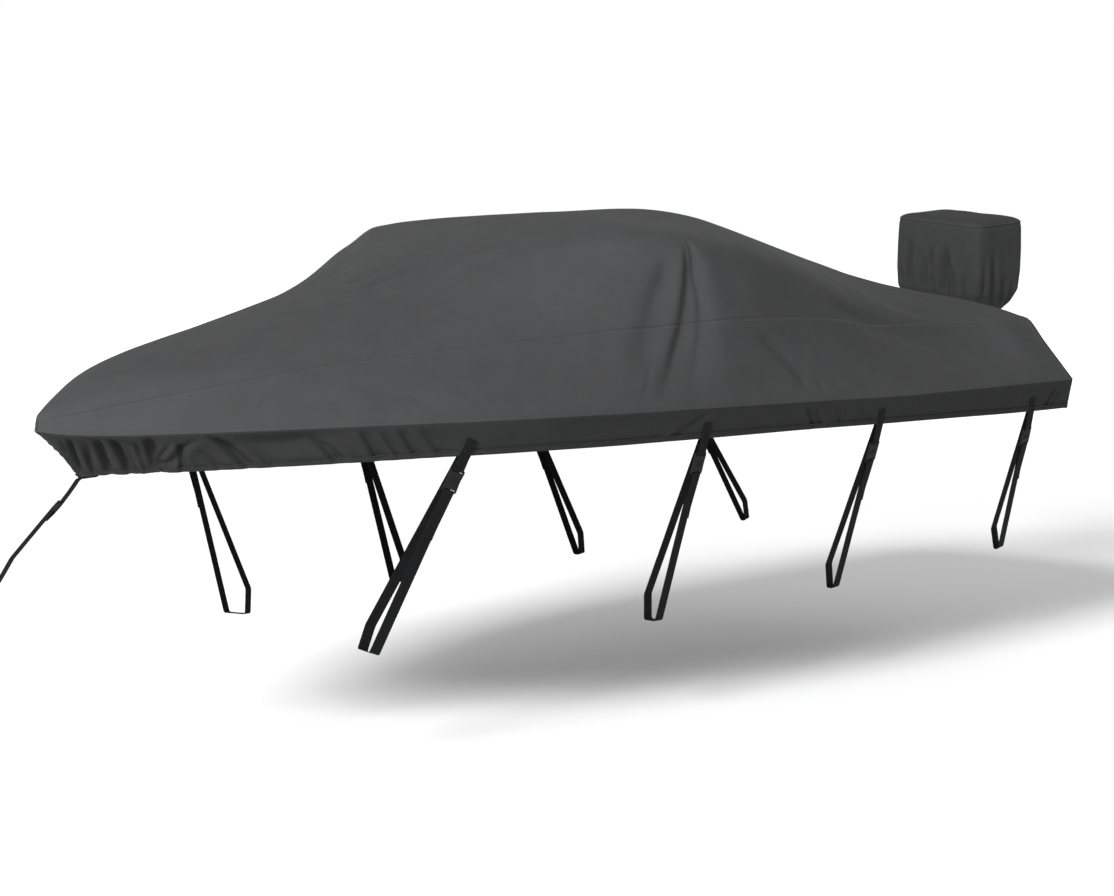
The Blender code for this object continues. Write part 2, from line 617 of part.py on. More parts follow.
def add_bow_strap():
    """The bow strap passes its buckle in two lengths, the lower one with a short free end."""
    line = [np.array((x, 0, z)) for x, z in BOW_STRAP_LINE]
    across = np.array([0, 1.0, 0])
    before, after = line[3], line[4]
    down = unit(after - before)
    out = np.cross(down, across)
    middle, beyond, beside = bar_places(BOW_BUCKLE_SIZE)
    lap = WEBBING_THICK + CLEARANCE
    buckle = before + down * BOW_BUCKLE_FROM_BEND

    def place(s, d):
        return buckle + down * s + out * d

    upper = line[:4] + [
        place(-middle - beyond * 2, beside),
        place(-middle + beyond, beside),
        place(-middle + beyond, -beside),
        place(-middle - beyond * 3, -beside),
    ]
    bends = (SOFT_BEND, SOFT_BEND, SOFT_BEND, SOFT_BEND / 2, BAR_BEND, BAR_BEND)
    add_webbing("tab_bow", rounded(upper, bends), across, BOW_WEBBING)
    lower = [
        place(middle + BOW_TAIL, -beside + 2 * lap),
        place(middle + beyond * 2, beside),
        place(middle - beyond, beside),
        place(middle - beyond, -beside),
        place(middle + beyond * 2, -beside),
    ] + line[4:]
    bends = (SOFT_BEND / 2, BAR_BEND, BAR_BEND, SOFT_BEND / 2, SOFT_BEND, SOFT_BEND)
    add_webbing("strap_bow", rounded(lower, bends), across, BOW_WEBBING)
    add_buckle("buckle_bow", BOW_BUCKLE_SIZE, buckle, across, down, out)


def hang_point():
    along = along_at([HUNG_AT])
    crown = cover_points(along, np.array([[CROWN_V]]))[0, 0]
    return crown - (0, 0, CLOTH)


clear_scene()
bpy.context.scene.collection.children.link(bpy.data.collections.new(COLLECTION))
HANG_POINT = hang_point()
add_panels()
add_skirts()
add_transom()
add_hood()
for strap in STRAPS:
    add_strap(*strap)
add_bow_strap()
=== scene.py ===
"""Looks of the fitted motorboat cover and its loose motor hood, as a Blender add-on that also runs as a script.

+X runs aft along the boat, -Y is its port side and +Z is up. The tables give heights above the ground under
the trailer. The origin is the point under the crown cloth where the boat carries the cover, so every shape is
moved by HANG_POINT before it becomes an object.
"""

import math

import bpy
import numpy as np
from mathutils import Euler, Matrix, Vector, noise


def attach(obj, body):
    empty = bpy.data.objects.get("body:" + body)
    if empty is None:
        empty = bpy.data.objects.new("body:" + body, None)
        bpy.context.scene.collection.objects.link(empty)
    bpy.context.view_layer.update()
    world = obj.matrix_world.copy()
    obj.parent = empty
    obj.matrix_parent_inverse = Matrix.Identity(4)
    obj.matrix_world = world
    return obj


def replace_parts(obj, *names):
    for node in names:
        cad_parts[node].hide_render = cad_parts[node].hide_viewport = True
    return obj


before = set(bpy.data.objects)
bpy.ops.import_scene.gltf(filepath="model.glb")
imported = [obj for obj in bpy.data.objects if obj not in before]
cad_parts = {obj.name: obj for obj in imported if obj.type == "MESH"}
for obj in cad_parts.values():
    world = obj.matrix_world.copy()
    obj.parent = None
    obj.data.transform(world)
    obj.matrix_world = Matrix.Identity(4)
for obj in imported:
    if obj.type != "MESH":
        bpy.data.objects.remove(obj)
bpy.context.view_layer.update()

bl_info = {
    "name": "Boat Cover",
    "version": (1, 0, 0),
    "blender": (4, 5, 0),
    "location": "View3D > Sidebar > Boat Cover",
    "description": "Makes a trailering boat cover with its skirt, tie-downs and motor hood",
    "category": "Object",
}

BODY = "root"
CLOTH = 0.0016
HANG_POINT = np.array((3.30, 0.0, 2.22597))

# ---- tables of the cover's shape ----

STATION_COLUMNS = (
    "x", "half_beam", "gunwale_z", "shoulder_y", "shoulder_z", "corner", "crown_z", "arch", "seam_rise",
    "skirt_drop",
)
STATIONS = (
    (0.00, 0.000, 1.405, 0.000, 1.440, 0.50, 1.460, 0.30, 0.025, 0.199),
    (0.03, 0.070, 1.395, 0.055, 1.450, 0.50, 1.490, 0.30, 0.045, 0.182),
    (0.14, 0.200, 1.390, 0.140, 1.495, 0.50, 1.550, 0.30, 0.080, 0.167),
    (0.35, 0.390, 1.395, 0.270, 1.590, 0.50, 1.635, 0.30, 0.125, 0.159),
    (0.70, 0.635, 1.405, 0.430, 1.660, 0.50, 1.715, 0.30, 0.180, 0.153),
    (1.05, 0.810, 1.410, 0.520, 1.710, 0.50, 1.800, 0.30, 0.225, 0.146),
    (1.40, 0.945, 1.410, 0.575, 1.780, 0.40, 1.895, 0.30, 0.248, 0.141),
    (1.65, 1.020, 1.410, 0.590, 1.840, 0.35, 1.955, 0.24, 0.268, 0.140),
    (1.90, 1.075, 1.410, 0.635, 1.955, 0.30, 2.045, 0.20, 0.288, 0.139),
    (2.15, 1.105, 1.405, 0.710, 2.075, 0.25, 2.130, 0.24, 0.310, 0.136),
    (2.40, 1.135, 1.405, 0.860, 2.160, 0.20, 2.190, 0.28, 0.330, 0.135),
    (2.70, 1.155, 1.400, 0.990, 2.140, 0.20, 2.220, 0.30, 0.350, 0.132),
    (3.10, 1.170, 1.395, 0.965, 2.070, 0.30, 2.245, 0.38, 0.355, 0.129),
    (3.45, 1.175, 1.390, 0.890, 2.013, 0.40, 2.274, 0.38, 0.345, 0.129),
    (3.80, 1.175, 1.380, 0.835, 1.906, 0.36, 2.202, 0.42, 0.325, 0.127),
    (4.20, 1.175, 1.380, 0.812, 1.766, 0.26, 2.112, 0.42, 0.300, 0.132),
    (4.60, 1.170, 1.380, 0.832, 1.674, 0.15, 2.006, 0.38, 0.285, 0.140),
    (5.00, 1.165, 1.380, 0.862, 1.663, 0.12, 1.885, 0.28, 0.275, 0.147),
    (5.36, 1.165, 1.380, 0.897, 1.686, 0.22, 1.795, 0.14, 0.270, 0.147),
)
BOW_RAKE, BOW_RAKE_FADE = 0.184, 0.48
BOW_HOLLOW, BOW_HOLLOW_FADE = 0.012, 0.10
SIDE_TUCK, BOW_TUCK, BOW_TUCK_FADE = 0.030, 0.035, 0.90
BOW_SLIT = 0.0012
CROWN_V = 4.0

# How closely the cloth is divided along the boat: up to x, in steps.
CLOTH_STEPS = ((0.30, 0.010), (1.30, 0.022), (2.15, 0.019), (2.78, 0.0085), (3.40, 0.014), (5.36, 0.021))
SKIRT_STEPS = ((1.15, 0.0055), (2.20, 0.013), (2.70, 0.010), (3.10, 0.013), (3.40, 0.008), (5.36, 0.012))
SIDE_ROWS, SHOULDER_ROWS, CROWN_ROWS, SKIRT_ROWS = 40, 44, 20, 26
SHOULDER_V = 2.9

# Folds that hang on the sides: a bent line from (x, z) through a middle to an end, its breadth towards the bow
# and towards the stern, and its depth. A ridge has a negative depth, and lift is the share of the depth that
# the cloth rises on each side of it.
SIDE_FOLD_COLUMNS = (
    "x_from", "z_from", "x_mid", "z_mid", "x_to", "z_to", "fore_breadth", "aft_breadth", "depth", "lift",
)
SIDE_FOLDS = (
    (2.645, 2.110, 2.525, 1.735, 2.292, 1.412, 0.028, 0.100, 0.033, 0.05),
    (2.668, 2.130, 2.655, 1.960, 2.655, 1.800, 0.010, 0.030, 0.008, 0.10),
    (2.655, 1.900, 2.612, 1.690, 2.490, 1.450, 0.022, 0.055, 0.009, 0.06),
    (2.560, 2.050, 2.385, 1.780, 2.235, 1.480, 0.045, 0.080, 0.020, 0.06),
    (2.320, 1.600, 2.245, 1.490, 2.195, 1.405, 0.011, 0.022, 0.003, 0.20),
    (3.500, 1.850, 4.550, 1.600, 5.450, 1.550, 0.085, 0.042, 0.022, 0.00),
    (2.940, 1.690, 3.150, 1.570, 3.262, 1.410, 0.030, 0.044, 0.013, 0.10),
    (3.110, 1.710, 3.230, 1.630, 3.330, 1.540, 0.022, 0.040, 0.006, 0.10),
    (3.180, 1.500, 3.225, 1.450, 3.265, 1.400, 0.010, 0.018, 0.006, 0.25),
    (3.290, 1.480, 3.330, 1.440, 3.360, 1.400, 0.012, 0.020, 0.006, 0.20),
    (3.420, 1.660, 3.520, 1.600, 3.600, 1.530, 0.050, 0.060, 0.006, 0.10),
    (1.150, 1.520, 1.230, 1.480, 1.330, 1.420, 0.014, 0.020, 0.002, 0.30),
    (1.320, 1.540, 1.390, 1.490, 1.460, 1.420, 0.014, 0.014, -0.002, 0.20),
)
STARBOARD_FOLD_SHARE = 0.8

# Folds on the upper cloth, in plan: from (x, y) to (x, y), breadth and depth.
TOP_FOLD_COLUMNS = ("x_from", "y_from", "x_to", "y_to", "breadth", "depth")
TOP_FOLDS = (
    (1.530, 0.070, 1.960, -0.015, 0.026, -0.0110),
    (1.520, 0.000, 1.930, -0.070, 0.026, 0.0130),
    (1.510, -0.080, 1.960, -0.130, 0.026, -0.0115),
    (1.500, -0.130, 1.970, -0.205, 0.026, 0.0135),
    (1.505, -0.192, 1.960, -0.288, 0.026, -0.0115),
    (1.560, -0.250, 2.000, -0.358, 0.026, 0.0120),
    (1.760, -0.345, 2.150, -0.440, 0.026, -0.0115),
    (1.820, -0.415, 2.200, -0.535, 0.027, 0.0115),
    (1.480, 0.220, 1.900, 0.260, 0.021, 0.0062),
    (1.560, 0.300, 1.980, 0.390, 0.019, -0.0069),
    (1.880, 0.370, 2.420, 0.880, 0.055, 0.0120),
    (2.080, 0.450, 2.580, 0.920, 0.045, -0.0050),
    (3.500, -0.300, 3.980, -0.520, 0.060, 0.0040),
    (3.520, 0.280, 4.000, 0.560, 0.060, -0.0050),
    (3.900, -0.600, 4.560, -0.850, 0.060, -0.0060),
    (3.950, -0.790, 5.900, -0.930, 0.035, -0.0090),
    (3.900, 0.600, 4.560, 0.850, 0.060, -0.0060),
    (3.950, 0.790, 5.900, 0.930, 0.035, -0.0090),
    (4.400, 0.100, 5.200, 0.260, 0.070, 0.0060),
    (4.500, -0.200, 5.300, -0.320, 0.080, 0.0060),
)

# Wide soft swells of the sides: centre (x, z), breadth along and up, and height.
SWELL_COLUMNS = ("x", "z", "along", "up", "height")
SWELLS = (
    (2.18, 1.88, 0.17, 0.20, 0.012),
    (1.75, 1.75, 0.30, 0.10, 0.006),
    (2.86, 1.95, 0.14, 0.14, -0.010),
    (3.60, 1.62, 0.30, 0.12, 0.006),
    (4.40, 1.47, 0.50, 0.06, 0.006),
    (0.70, 1.55, 0.30, 0.08, 0.006),
    (5.11, 1.550, 0.15, 0.13, 0.034),
    (5.30, 1.600, 0.06, 0.05, -0.006),
)

# Gathers in the skirt: where each leaves the gunwale and where it meets the hem, both as stations, how far
# down it starts as a share of the skirt, its breadth and its depth.
GATHER_COLUMNS = ("x_top", "x_hem", "start", "breadth", "depth")
GATHERS = (
    (0.030, 0.004, 0.10, 0.009, 0.007),
    (0.055, 0.016, 0.06, 0.012, 0.015),
    (0.085, 0.060, 0.25, 0.010, 0.009),
    (0.119, 0.110, 0.06, 0.014, 0.018),
    (0.157, 0.175, 0.06, 0.013, 0.018),
    (0.190, 0.202, 0.35, 0.010, 0.009),
    (0.222, 0.228, 0.20, 0.012, 0.011),
    (0.263, 0.255, 0.02, 0.022, 0.021),
    (0.320, 0.262, 0.30, 0.012, 0.010),
    (0.400, 0.278, 0.15, 0.013, 0.015),
    (0.352, 0.345, 0.20, 0.012, 0.012),
    (0.435, 0.570, 0.00, 0.016, 0.018),
    (0.400, 0.470, 0.45, 0.010, 0.008),
    (0.540, 0.660, 0.40, 0.012, 0.007),
    (0.770, 0.880, 0.24, 0.014, 0.013),
    (0.820, 0.905, 0.50, 0.010, 0.007),
    (0.945, 1.035, 0.04, 0.020, 0.013),
    (1.010, 1.120, 0.08, 0.016, 0.010),
    (1.082, 1.185, 0.04, 0.019, 0.012),
    (1.164, 1.280, 0.02, 0.020, 0.011),
    (1.230, 1.330, 0.30, 0.014, 0.004),
    (2.580, 2.350, 0.06, 0.016, 0.009),
    (2.540, 2.320, 0.30, 0.012, -0.004),
    (3.190, 3.300, 0.02, 0.018, 0.014),
    (3.255, 3.350, 0.10, 0.012, 0.009),
    (3.420, 3.480, 0.25, 0.013, 0.006),
    (3.620, 3.720, 0.35, 0.014, 0.005),
    (5.240, 5.140, 0.06, 0.014, 0.011),
    (5.290, 5.200, 0.14, 0.012, 0.008),
)
# Where the skirt is tucked in under the gunwale: station, breadth along it and depth.
SKIRT_TUCK_COLUMNS = ("x", "breadth", "depth")
SKIRT_TUCKS = ((0.20, 0.14, 0.018), (0.66, 0.17, 0.028), (2.00, 0.30, 0.006))
# Wrinkles all along the skirt: their size along it and down it, their height, how far down they start and are
# full, where they fade towards the hem and by what share, and where in the noise they are read.
SKIRT_WRINKLE_COLUMNS = ("along", "down", "height", "start", "full", "fade_from", "fade_share", "seed")
SKIRT_WRINKLES = (
    (0.020, 0.090, 0.0018, 0.62, 0.88, 0.92, 0.7, 5.1),
    (0.060, 0.120, 0.0026, 0.10, 0.60, 0.85, 0.6, 9.4),
)
SKIRT_BEHIND, SKIRT_BELOW = 0.0030, 0.0046
HEM_DRAW = 0.006
HEM_CASING, HEM_ROLL, HEM_TURN = 0.026, 0.0036, 0.024
CORD_HEIGHT, CORD_BREADTH, CORD_BULGE = 0.007, 0.007, 0.0030
PINCH_BREADTH, PINCH_DEPTH = 0.004, 0.0012
GUNWALE_TURN = 0.004
STERN_ROWS = 45

# The lapped seam: its lap, how far it stands up, and where it has sunk back to the cloth.
SEAM_LAP, SEAM_RISE, SEAM_EASE = 0.014, 0.0020, 0.090

# Rows of stitches: how far from the edge of their cloth they run, how far they stand off it, and how many cuts
# at the bow tip go without.
SEAM_STITCH_ROWS = (0.0035, 0.0110)
EDGE_STITCH_ROW = 0.016
HEM_STITCH_ROWS = (HEM_CASING, HEM_CASING - 0.006)
STITCH_LIFT = 0.0004
UNSEWN_CUTS = 4

HOOD_COLUMNS = ("height", "across", "along")
HOOD_RINGS = (
    (0.000, 0.660, 0.620), (0.020, 0.735, 0.705), (0.060, 0.860, 0.840), (0.130, 0.970, 0.970),
    (0.230, 1.000, 1.000), (0.360, 1.000, 1.000), (0.470, 0.992, 0.985), (0.494, 0.980, 0.968),
    (0.500, 0.970, 0.955),
)
HOOD_TOP_RINGS = (
    (0.4960, 0.9875, 0.977), (0.5040, 0.980, 0.965), (0.513, 0.950, 0.925), (0.522, 0.885, 0.855),
    (0.5285, 0.750, 0.720), (0.532, 0.550, 0.520), (0.535, 0.280, 0.260), (0.536, 0.030, 0.030),
)
HOOD_ACROSS, HOOD_ALONG = 0.590, 0.412
HOOD_SQUARENESS = 9.0
HOOD_SIDES = 250
HOOD_ROWS, HOOD_TOP_ROWS = 90, 44
HOOD_AT = (6.090, 0.030, 1.664)
HOOD_TURN = (math.radians(5.0), math.radians(-4.5), math.radians(-5.0))
HOOD_UNEVEN, HOOD_SAG = 0.0022, 0.0030
HOOD_HEM_UNEVEN, HOOD_HEM_REACH, HOOD_HEM_WAVES = 0.0060, 0.11, 12
HOOD_CORD_BULGE, HOOD_CORD_HEIGHT, HOOD_CORD_BREADTH = 0.0028, 0.010, 0.008
HOOD_SEAM_BULGE = 0.0016

# Folds of the hood's sides: the face ("bow", "port", "stern" or "starboard"), the place across that face and
# the drift down to the low end, the heights of both ends, the breadth and the depth.
HOOD_FOLD_COLUMNS = ("face", "place", "drift", "high", "low", "breadth", "depth")
HOOD_FOLDS = (
    ("bow", 0.175, 0.010, 0.420, 0.120, 0.018, 0.026),
    ("bow", 0.066, 0.014, 0.330, 0.110, 0.022, 0.022),
    ("bow", 0.026, -0.012, 0.390, 0.120, 0.018, 0.026),
    ("bow", -0.070, -0.004, 0.400, 0.090, 0.028, 0.038),
    ("bow", -0.128, 0.008, 0.300, 0.080, 0.016, 0.016),
    ("bow", -0.200, 0.012, 0.240, 0.060, 0.014, 0.012),
    ("bow", 0.235, -0.010, 0.240, 0.060, 0.016, 0.014),
    ("port", -0.140, 0.012, 0.360, 0.100, 0.018, 0.012),
    ("port", -0.062, 0.014, 0.400, 0.060, 0.022, 0.016),
    ("port", 0.030, 0.014, 0.240, 0.050, 0.018, 0.012),
    ("port", 0.115, -0.020, 0.200, 0.040, 0.016, 0.012),
    ("stern", -0.120, 0.010, 0.360, 0.110, 0.020, 0.020),
    ("stern", 0.040, -0.015, 0.300, 0.080, 0.022, 0.022),
    ("stern", 0.160, 0.010, 0.250, 0.070, 0.016, 0.016),
    ("starboard", -0.090, 0.015, 0.300, 0.080, 0.018, 0.018),
    ("starboard", 0.060, -0.012, 0.250, 0.060, 0.018, 0.018),
)

# ---- tables of the tie-downs ----

STRAP_COLUMNS = ("name", "side", "x", "foot_x", "foot_y", "foot_z", "foot_wide", "buckle_drop")
STRAPS = (
    ("port_1", -1, 1.378, 1.155, 0.60, 0.475, 0.105, 0.108),
    ("port_2", -1, 2.575, 2.595, 0.84, 0.460, 0.065, 0.114),
    ("port_3", -1, 3.775, 3.870, 0.83, 0.460, 0.035, 0.140),
    ("port_4", -1, 5.040, 5.235, 0.84, 0.510, 0.025, 0.142),
    ("starboard_1", 1, 1.378, 1.400, 0.62, 0.475, 0.105, 0.108),
    ("starboard_2", 1, 2.575, 2.595, 0.84, 0.460, 0.065, 0.114),
    ("starboard_3", 1, 3.775, 3.870, 0.83, 0.460, 0.035, 0.140),
    ("starboard_4", 1, 5.040, 5.235, 0.84, 0.510, 0.025, 0.142),
)
FOOT_TALL = 0.110
WEBBING, WEBBING_THICK = 0.048, 0.0022
TAB_ABOVE_HEM, TAB_BACK, SEWN_INSIDE = 0.074, 0.016, 0.030
TAIL = 0.210
BUCKLE_STAND = 0.0035
SKIN = 0.0008
LAP_GAP = 0.0003
FOOT_BEND, BAR_BEND, SOFT_BEND = 0.010, 0.002, 0.010

# Half of the webbing's cross-section, with its thick woven edges, as shares of its half width and half
# thickness. The other half is this one turned round.
WEBBING_COLUMNS = ("across", "out")
HALF_WEBBING = (
    (-1.00, 0.00), (-0.985, 0.60), (-0.94, 0.92), (-0.80, 1.00), (-0.30, 0.94), (0.30, 0.94), (0.80, 1.00),
    (0.94, 0.92), (0.985, 0.60),
)

# A buckle's rows, bottom to top, as shares of its half length, half width and half thickness: the slots lie
# between the second and third and between the sixth and seventh.
BUCKLE_COLUMNS = ("height", "half_width", "half_thick")
BUCKLE_ROWS = (
    (-1.00, 0.95, 0.54), (-0.88, 1.00, 0.54), (-0.77, 1.00, 0.64), (-0.14, 0.88, 1.00),
    (0.14, 0.88, 1.00), (0.77, 1.00, 0.64), (0.88, 1.00, 0.54), (1.00, 0.95, 0.54),
)
BUCKLE_SLOT_ROWS = (1, 5)
BUCKLE_SLOT = 0.81
BUCKLE_SIZE = (0.066, 0.013, 0.097)
# The ribs on a buckle's face: how far up and down they reach and how long they are, as shares of its height
# and width, and how thick.
GRIP_REACH, GRIP_LENGTH, GRIP_THICK = 0.11, 0.62, 0.0018

BOW_STRAP_LINE = (
    (0.286, 1.236), (0.264, 1.2103), (0.184, 1.2083), (0.143, 1.163), (-0.124, 0.934), (-0.160, 0.885),
    (-0.250, 0.770),
)
BOW_WEBBING = 0.030
BOW_BUCKLE_SIZE = (0.040, 0.009, 0.044)
BOW_BUCKLE_FROM_BEND = 0.085
BOW_TAIL = 0.050

# ---- the stage ----

FLOOR_RADIUS, FLOOR_SIDES = 70.0, 96
# The floor glows more the further from the middle it is, so that it meets the surround without an edge.
FLOOR_GLOW = {"From Min": 4.0, "From Max": 26.0, "To Min": 0.08, "To Max": 0.80}
KEY_PLACE, FILL_PLACE = (-34.0, -9.4, 19.4), (26.0, 22.0, 8.0)
LIT_POINT = (0, 0, -0.6)
LIGHT_SIZE = (12.0, 9.0)
CAMERA_PLACE = (-5.46, -7.854, 2.268)
CAMERA_PITCH, CAMERA_TURN = 5.665, -46.6
SENSOR, FOCAL_PIXELS, FRAME_PIXELS = 36.0, 2500, 1114

# ---- the cloths' cuts ----

# Names of the columns for the flat sizes that the cloths are cut to (width, length, area) and how each is held; no
# rows of them are listed here.
FLAT_COLUMNS = ("width", "length", "area", "held")


# ---- settings ----


def colour_setting(name, description, default):
    return bpy.props.FloatVectorProperty(
        name=name, description=description, subtype="COLOR", size=3, min=0, max=1, default=default)


def length_setting(name, description, default, least=0.0):
    return bpy.props.FloatProperty(
        name=name, description=description, default=default, min=least, unit="LENGTH")


def share_setting(name, description, default):
    return bpy.props.FloatProperty(name=name, description=description, default=default, min=0)


def power_setting(name, description, default):
    return bpy.props.FloatProperty(name=name, description=description, default=default, min=0, unit="POWER")


class ClothSettings(bpy.types.PropertyGroup):
    """Sizes and colours of the cover's cloth."""

    colour: colour_setting("Cloth colour", "Mean colour of the grey polyester", (0.0450, 0.0455, 0.0466))
    mottle: share_setting("Mottle", "How much the dye varies over the cloth, as a share", 0.06)
    yarn: length_setting("Yarn spacing", "From one yarn of the weave to the next", 0.0012, 0.0002)
    slack: length_setting("Slack", "Height of the soft, wide unevenness of the drawn cloth", 0.0040)
    thickness: length_setting("Thickness", "Thickness of the cloth", CLOTH, 0.0003)
    # The skirts' lower share is painted shade: the same cloth darkened where it hangs under the gunwale, out of
    # the light.
    skirt_painted_shade: share_setting("Skirt tone", "The skirts' colour as a share of the cloth's", 0.54)
    hood_tone: share_setting("Hood tone", "The hood's colour as a share of the cloth's", 0.72)


class StitchSettings(bpy.types.PropertyGroup):
    """Sizes of the sewing."""

    pitch: length_setting("Pitch", "From one stitch to the next", 0.0065, 0.001)
    length: length_setting("Stitch length", "How much of the pitch the thread shows", 0.0046, 0.0005)
    thread: length_setting("Thread", "Thickness of the thread", 0.0011, 0.0002)
    # The thread is lighter than the cloth: partly the thread's own colour, partly a painted highlight along the
    # seams and the hood's top edges.
    colour: colour_setting("Thread colour", "Colour of the thread", (0.105, 0.106, 0.108))


class StrapSettings(bpy.types.PropertyGroup):
    """Sizes and colours of the tie-downs."""

    colour: colour_setting("Webbing colour", "Colour of the black webbing", (0.0060, 0.0061, 0.0066))
    rib: length_setting("Rib spacing", "From one rib of the webbing to the next", 0.0021, 0.0005)
    buckle_colour: colour_setting("Buckle colour", "Colour of the moulded buckles", (0.0085, 0.0085, 0.0092))
    buckle_round: length_setting("Buckle edge", "Radius of the buckle's moulded edges", 0.0016, 0.0002)
    grips: bpy.props.IntProperty(
        name="Grip ribs", description="Ribs moulded on the face of a buckle", default=6, min=0, max=20)


class StageSettings(bpy.types.PropertyGroup):
    """Floor, light and background."""

    floor_colour: colour_setting("Floor colour", "Colour of the plain floor", (0.90, 0.90, 0.90))
    key_power: power_setting("Key light", "Power of the large soft light over the bow", 25000.0)
    fill_power: power_setting("Fill light", "Power of the weak light from behind", 450.0)
    surround: share_setting("Surround", "Strength of the light from the white surround", 0.46)


# ---- finishes ----


def new_finish(name, colour, roughness):
    """A material with its shader and a helper that adds nodes to it."""
    finish = bpy.data.materials.new(name)
    finish.use_nodes = True
    finish.diffuse_color = (*colour, 1.0)
    tree = finish.node_tree
    shader = tree.nodes["Principled BSDF"]
    shader.inputs["Base Color"].default_value = (*colour, 1.0)
    shader.inputs["Roughness"].default_value = roughness

    def add(kind, sources=(), **values):
        node = tree.nodes.new(kind)
        for key, value in values.items():
            if hasattr(node, key):
                setattr(node, key, value)
            else:
                node.inputs[key.replace("_", " ").title()].default_value = value
        for socket, source in dict(sources).items():
            tree.links.new(source, node.inputs[socket])
        return node

    return finish, tree, shader, add


def tint_between(tree, shader, add, factor, low, high, places=(0.0, 1.0)):
    """Colours a finish from low to high by a factor's value between two places."""
    tint = add("ShaderNodeValToRGB", {"Fac": factor})
    for element, place, colour in zip(tint.color_ramp.elements, places, (low, high)):
        element.position, element.color = place, (*colour, 1.0)
    tree.links.new(tint.outputs["Color"], shader.inputs["Base Color"])


def relieve(tree, shader, add, height, strength, distance, over=()):
    """Gives a finish a fine relief, over another relief if there is one."""
    relief = add("ShaderNodeBump", {"Height": height, **dict(over)}, strength=strength, distance=distance)
    tree.links.new(relief.outputs["Normal"], shader.inputs["Normal"])


def yarn_scale(spacing):
    """The Wave texture's scale for one band each spacing, in metres."""
    return 2 * math.pi / 20 / spacing


def cloth_finish(name="cover_polyester", tone=1.0):
    """Woven polyester: crossing yarns, a soft mottle of the dye and slight creases from folding."""
    found = bpy.data.materials.get(name)
    if found:
        return found
    settings = bpy.context.scene.boat_cloth
    # A tone below 1 makes a darker copy of the same cloth; the skirts' darker copy is painted shade.
    colour = np.array(settings.colour) * tone
    finish, tree, shader, add = new_finish(name, colour, 0.80)
    shader.inputs["Sheen Weight"].default_value = 0.02
    shader.inputs["Sheen Roughness"].default_value = 0.35
    shader.inputs["Specular IOR Level"].default_value = 0.05
    places = add("ShaderNodeTexCoord").outputs
    weave = add("ShaderNodeUVMap", uv_map="weave").outputs["UV"]

    wide = add("ShaderNodeTexNoise", {"Vector": places["Object"]}, scale=1.1, detail=4.0, roughness=0.55)
    fine = add("ShaderNodeTexNoise", {"Vector": places["Object"]}, scale=9.0, detail=3.0, roughness=0.6)
    both = add("ShaderNodeMath", {0: wide.outputs["Fac"], 1: fine.outputs["Fac"]}, operation="MULTIPLY")
    low, high = colour * (1 - settings.mottle), colour * (1 + settings.mottle)
    tint_between(tree, shader, add, both.outputs[0], low, high, (0.14, 0.38))

    warp = add("ShaderNodeTexWave", {"Vector": weave}, bands_direction="X", scale=yarn_scale(settings.yarn))
    weft = add("ShaderNodeTexWave", {"Vector": weave}, bands_direction="Y", scale=yarn_scale(settings.yarn))
    crossing = add("ShaderNodeMath", {0: warp.outputs["Fac"], 1: weft.outputs["Fac"]}, operation="MULTIPLY")
    yarns = add("ShaderNodeBump", {"Height": crossing.outputs[0]}, strength=0.35, distance=0.0003)
    creased = add("ShaderNodeTexNoise", {"Vector": places["Object"]}, scale=7.0, detail=3.0, distortion=0.6)
    relieve(tree, shader, add, creased.outputs["Fac"], 0.30, 0.006, {"Normal": yarns.outputs["Normal"]})
    return finish


def webbing_finish():
    """Ribbed webbing: ribs along it, crossed by finer picks, a little shiny."""
    found = bpy.data.materials.get("tie_down_webbing")
    if found:
        return found
    settings = bpy.context.scene.boat_straps
    colour = np.array(settings.colour)
    finish, tree, shader, add = new_finish("tie_down_webbing", colour, 0.66)
    shader.inputs["Specular IOR Level"].default_value = 0.06
    weave = add("ShaderNodeUVMap", uv_map="weave").outputs["UV"]
    ribs = add("ShaderNodeTexWave", {"Vector": weave}, bands_direction="Y", scale=yarn_scale(settings.rib))
    picks = add("ShaderNodeTexWave", {"Vector": weave}, bands_direction="X",
                scale=yarn_scale(settings.rib * 0.8), distortion=1.5)
    height = add("ShaderNodeMath", {0: ribs.outputs["Fac"], 1: picks.outputs["Fac"]}, operation="ADD")
    relieve(tree, shader, add, height.outputs[0], 0.5, 0.0004)
    worn = add("ShaderNodeTexNoise", {"Vector": weave}, scale=60.0, detail=3.0)
    tint_between(tree, shader, add, worn.outputs["Fac"], colour * 0.75, colour * 1.7)
    return finish


def plastic_finish():
    """Moulded black plastic with a fine eggshell grain."""
    found = bpy.data.materials.get("buckle_moulding")
    if found:
        return found
    settings = bpy.context.scene.boat_straps
    colour = np.array(settings.buckle_colour)
    finish, tree, shader, add = new_finish("buckle_moulding", colour, 0.55)
    shader.inputs["Specular IOR Level"].default_value = 0.12
    places = add("ShaderNodeTexCoord").outputs
    grain = add("ShaderNodeTexNoise", {"Vector": places["Object"]}, scale=900.0, detail=2.0)
    relieve(tree, shader, add, grain.outputs["Fac"], 0.15, 0.0003)
    rubbed = add("ShaderNodeTexNoise", {"Vector": places["Object"]}, scale=70.0, detail=4.0)
    tint_between(tree, shader, add, rubbed.outputs["Fac"], colour * 0.85, colour * 1.4)
    return finish


def thread_finish(name="sewing_thread", colour=None):
    """Twisted sewing thread."""
    found = bpy.data.materials.get(name)
    if found:
        return found
    colour = np.array(colour or bpy.context.scene.boat_stitches.colour)
    finish, tree, shader, add = new_finish(name, colour, 0.55)
    places = add("ShaderNodeTexCoord").outputs
    twist = add("ShaderNodeTexNoise", {"Vector": places["Object"]}, scale=700.0, detail=2.0)
    relieve(tree, shader, add, twist.outputs["Fac"], 0.4, 0.0003)
    return finish


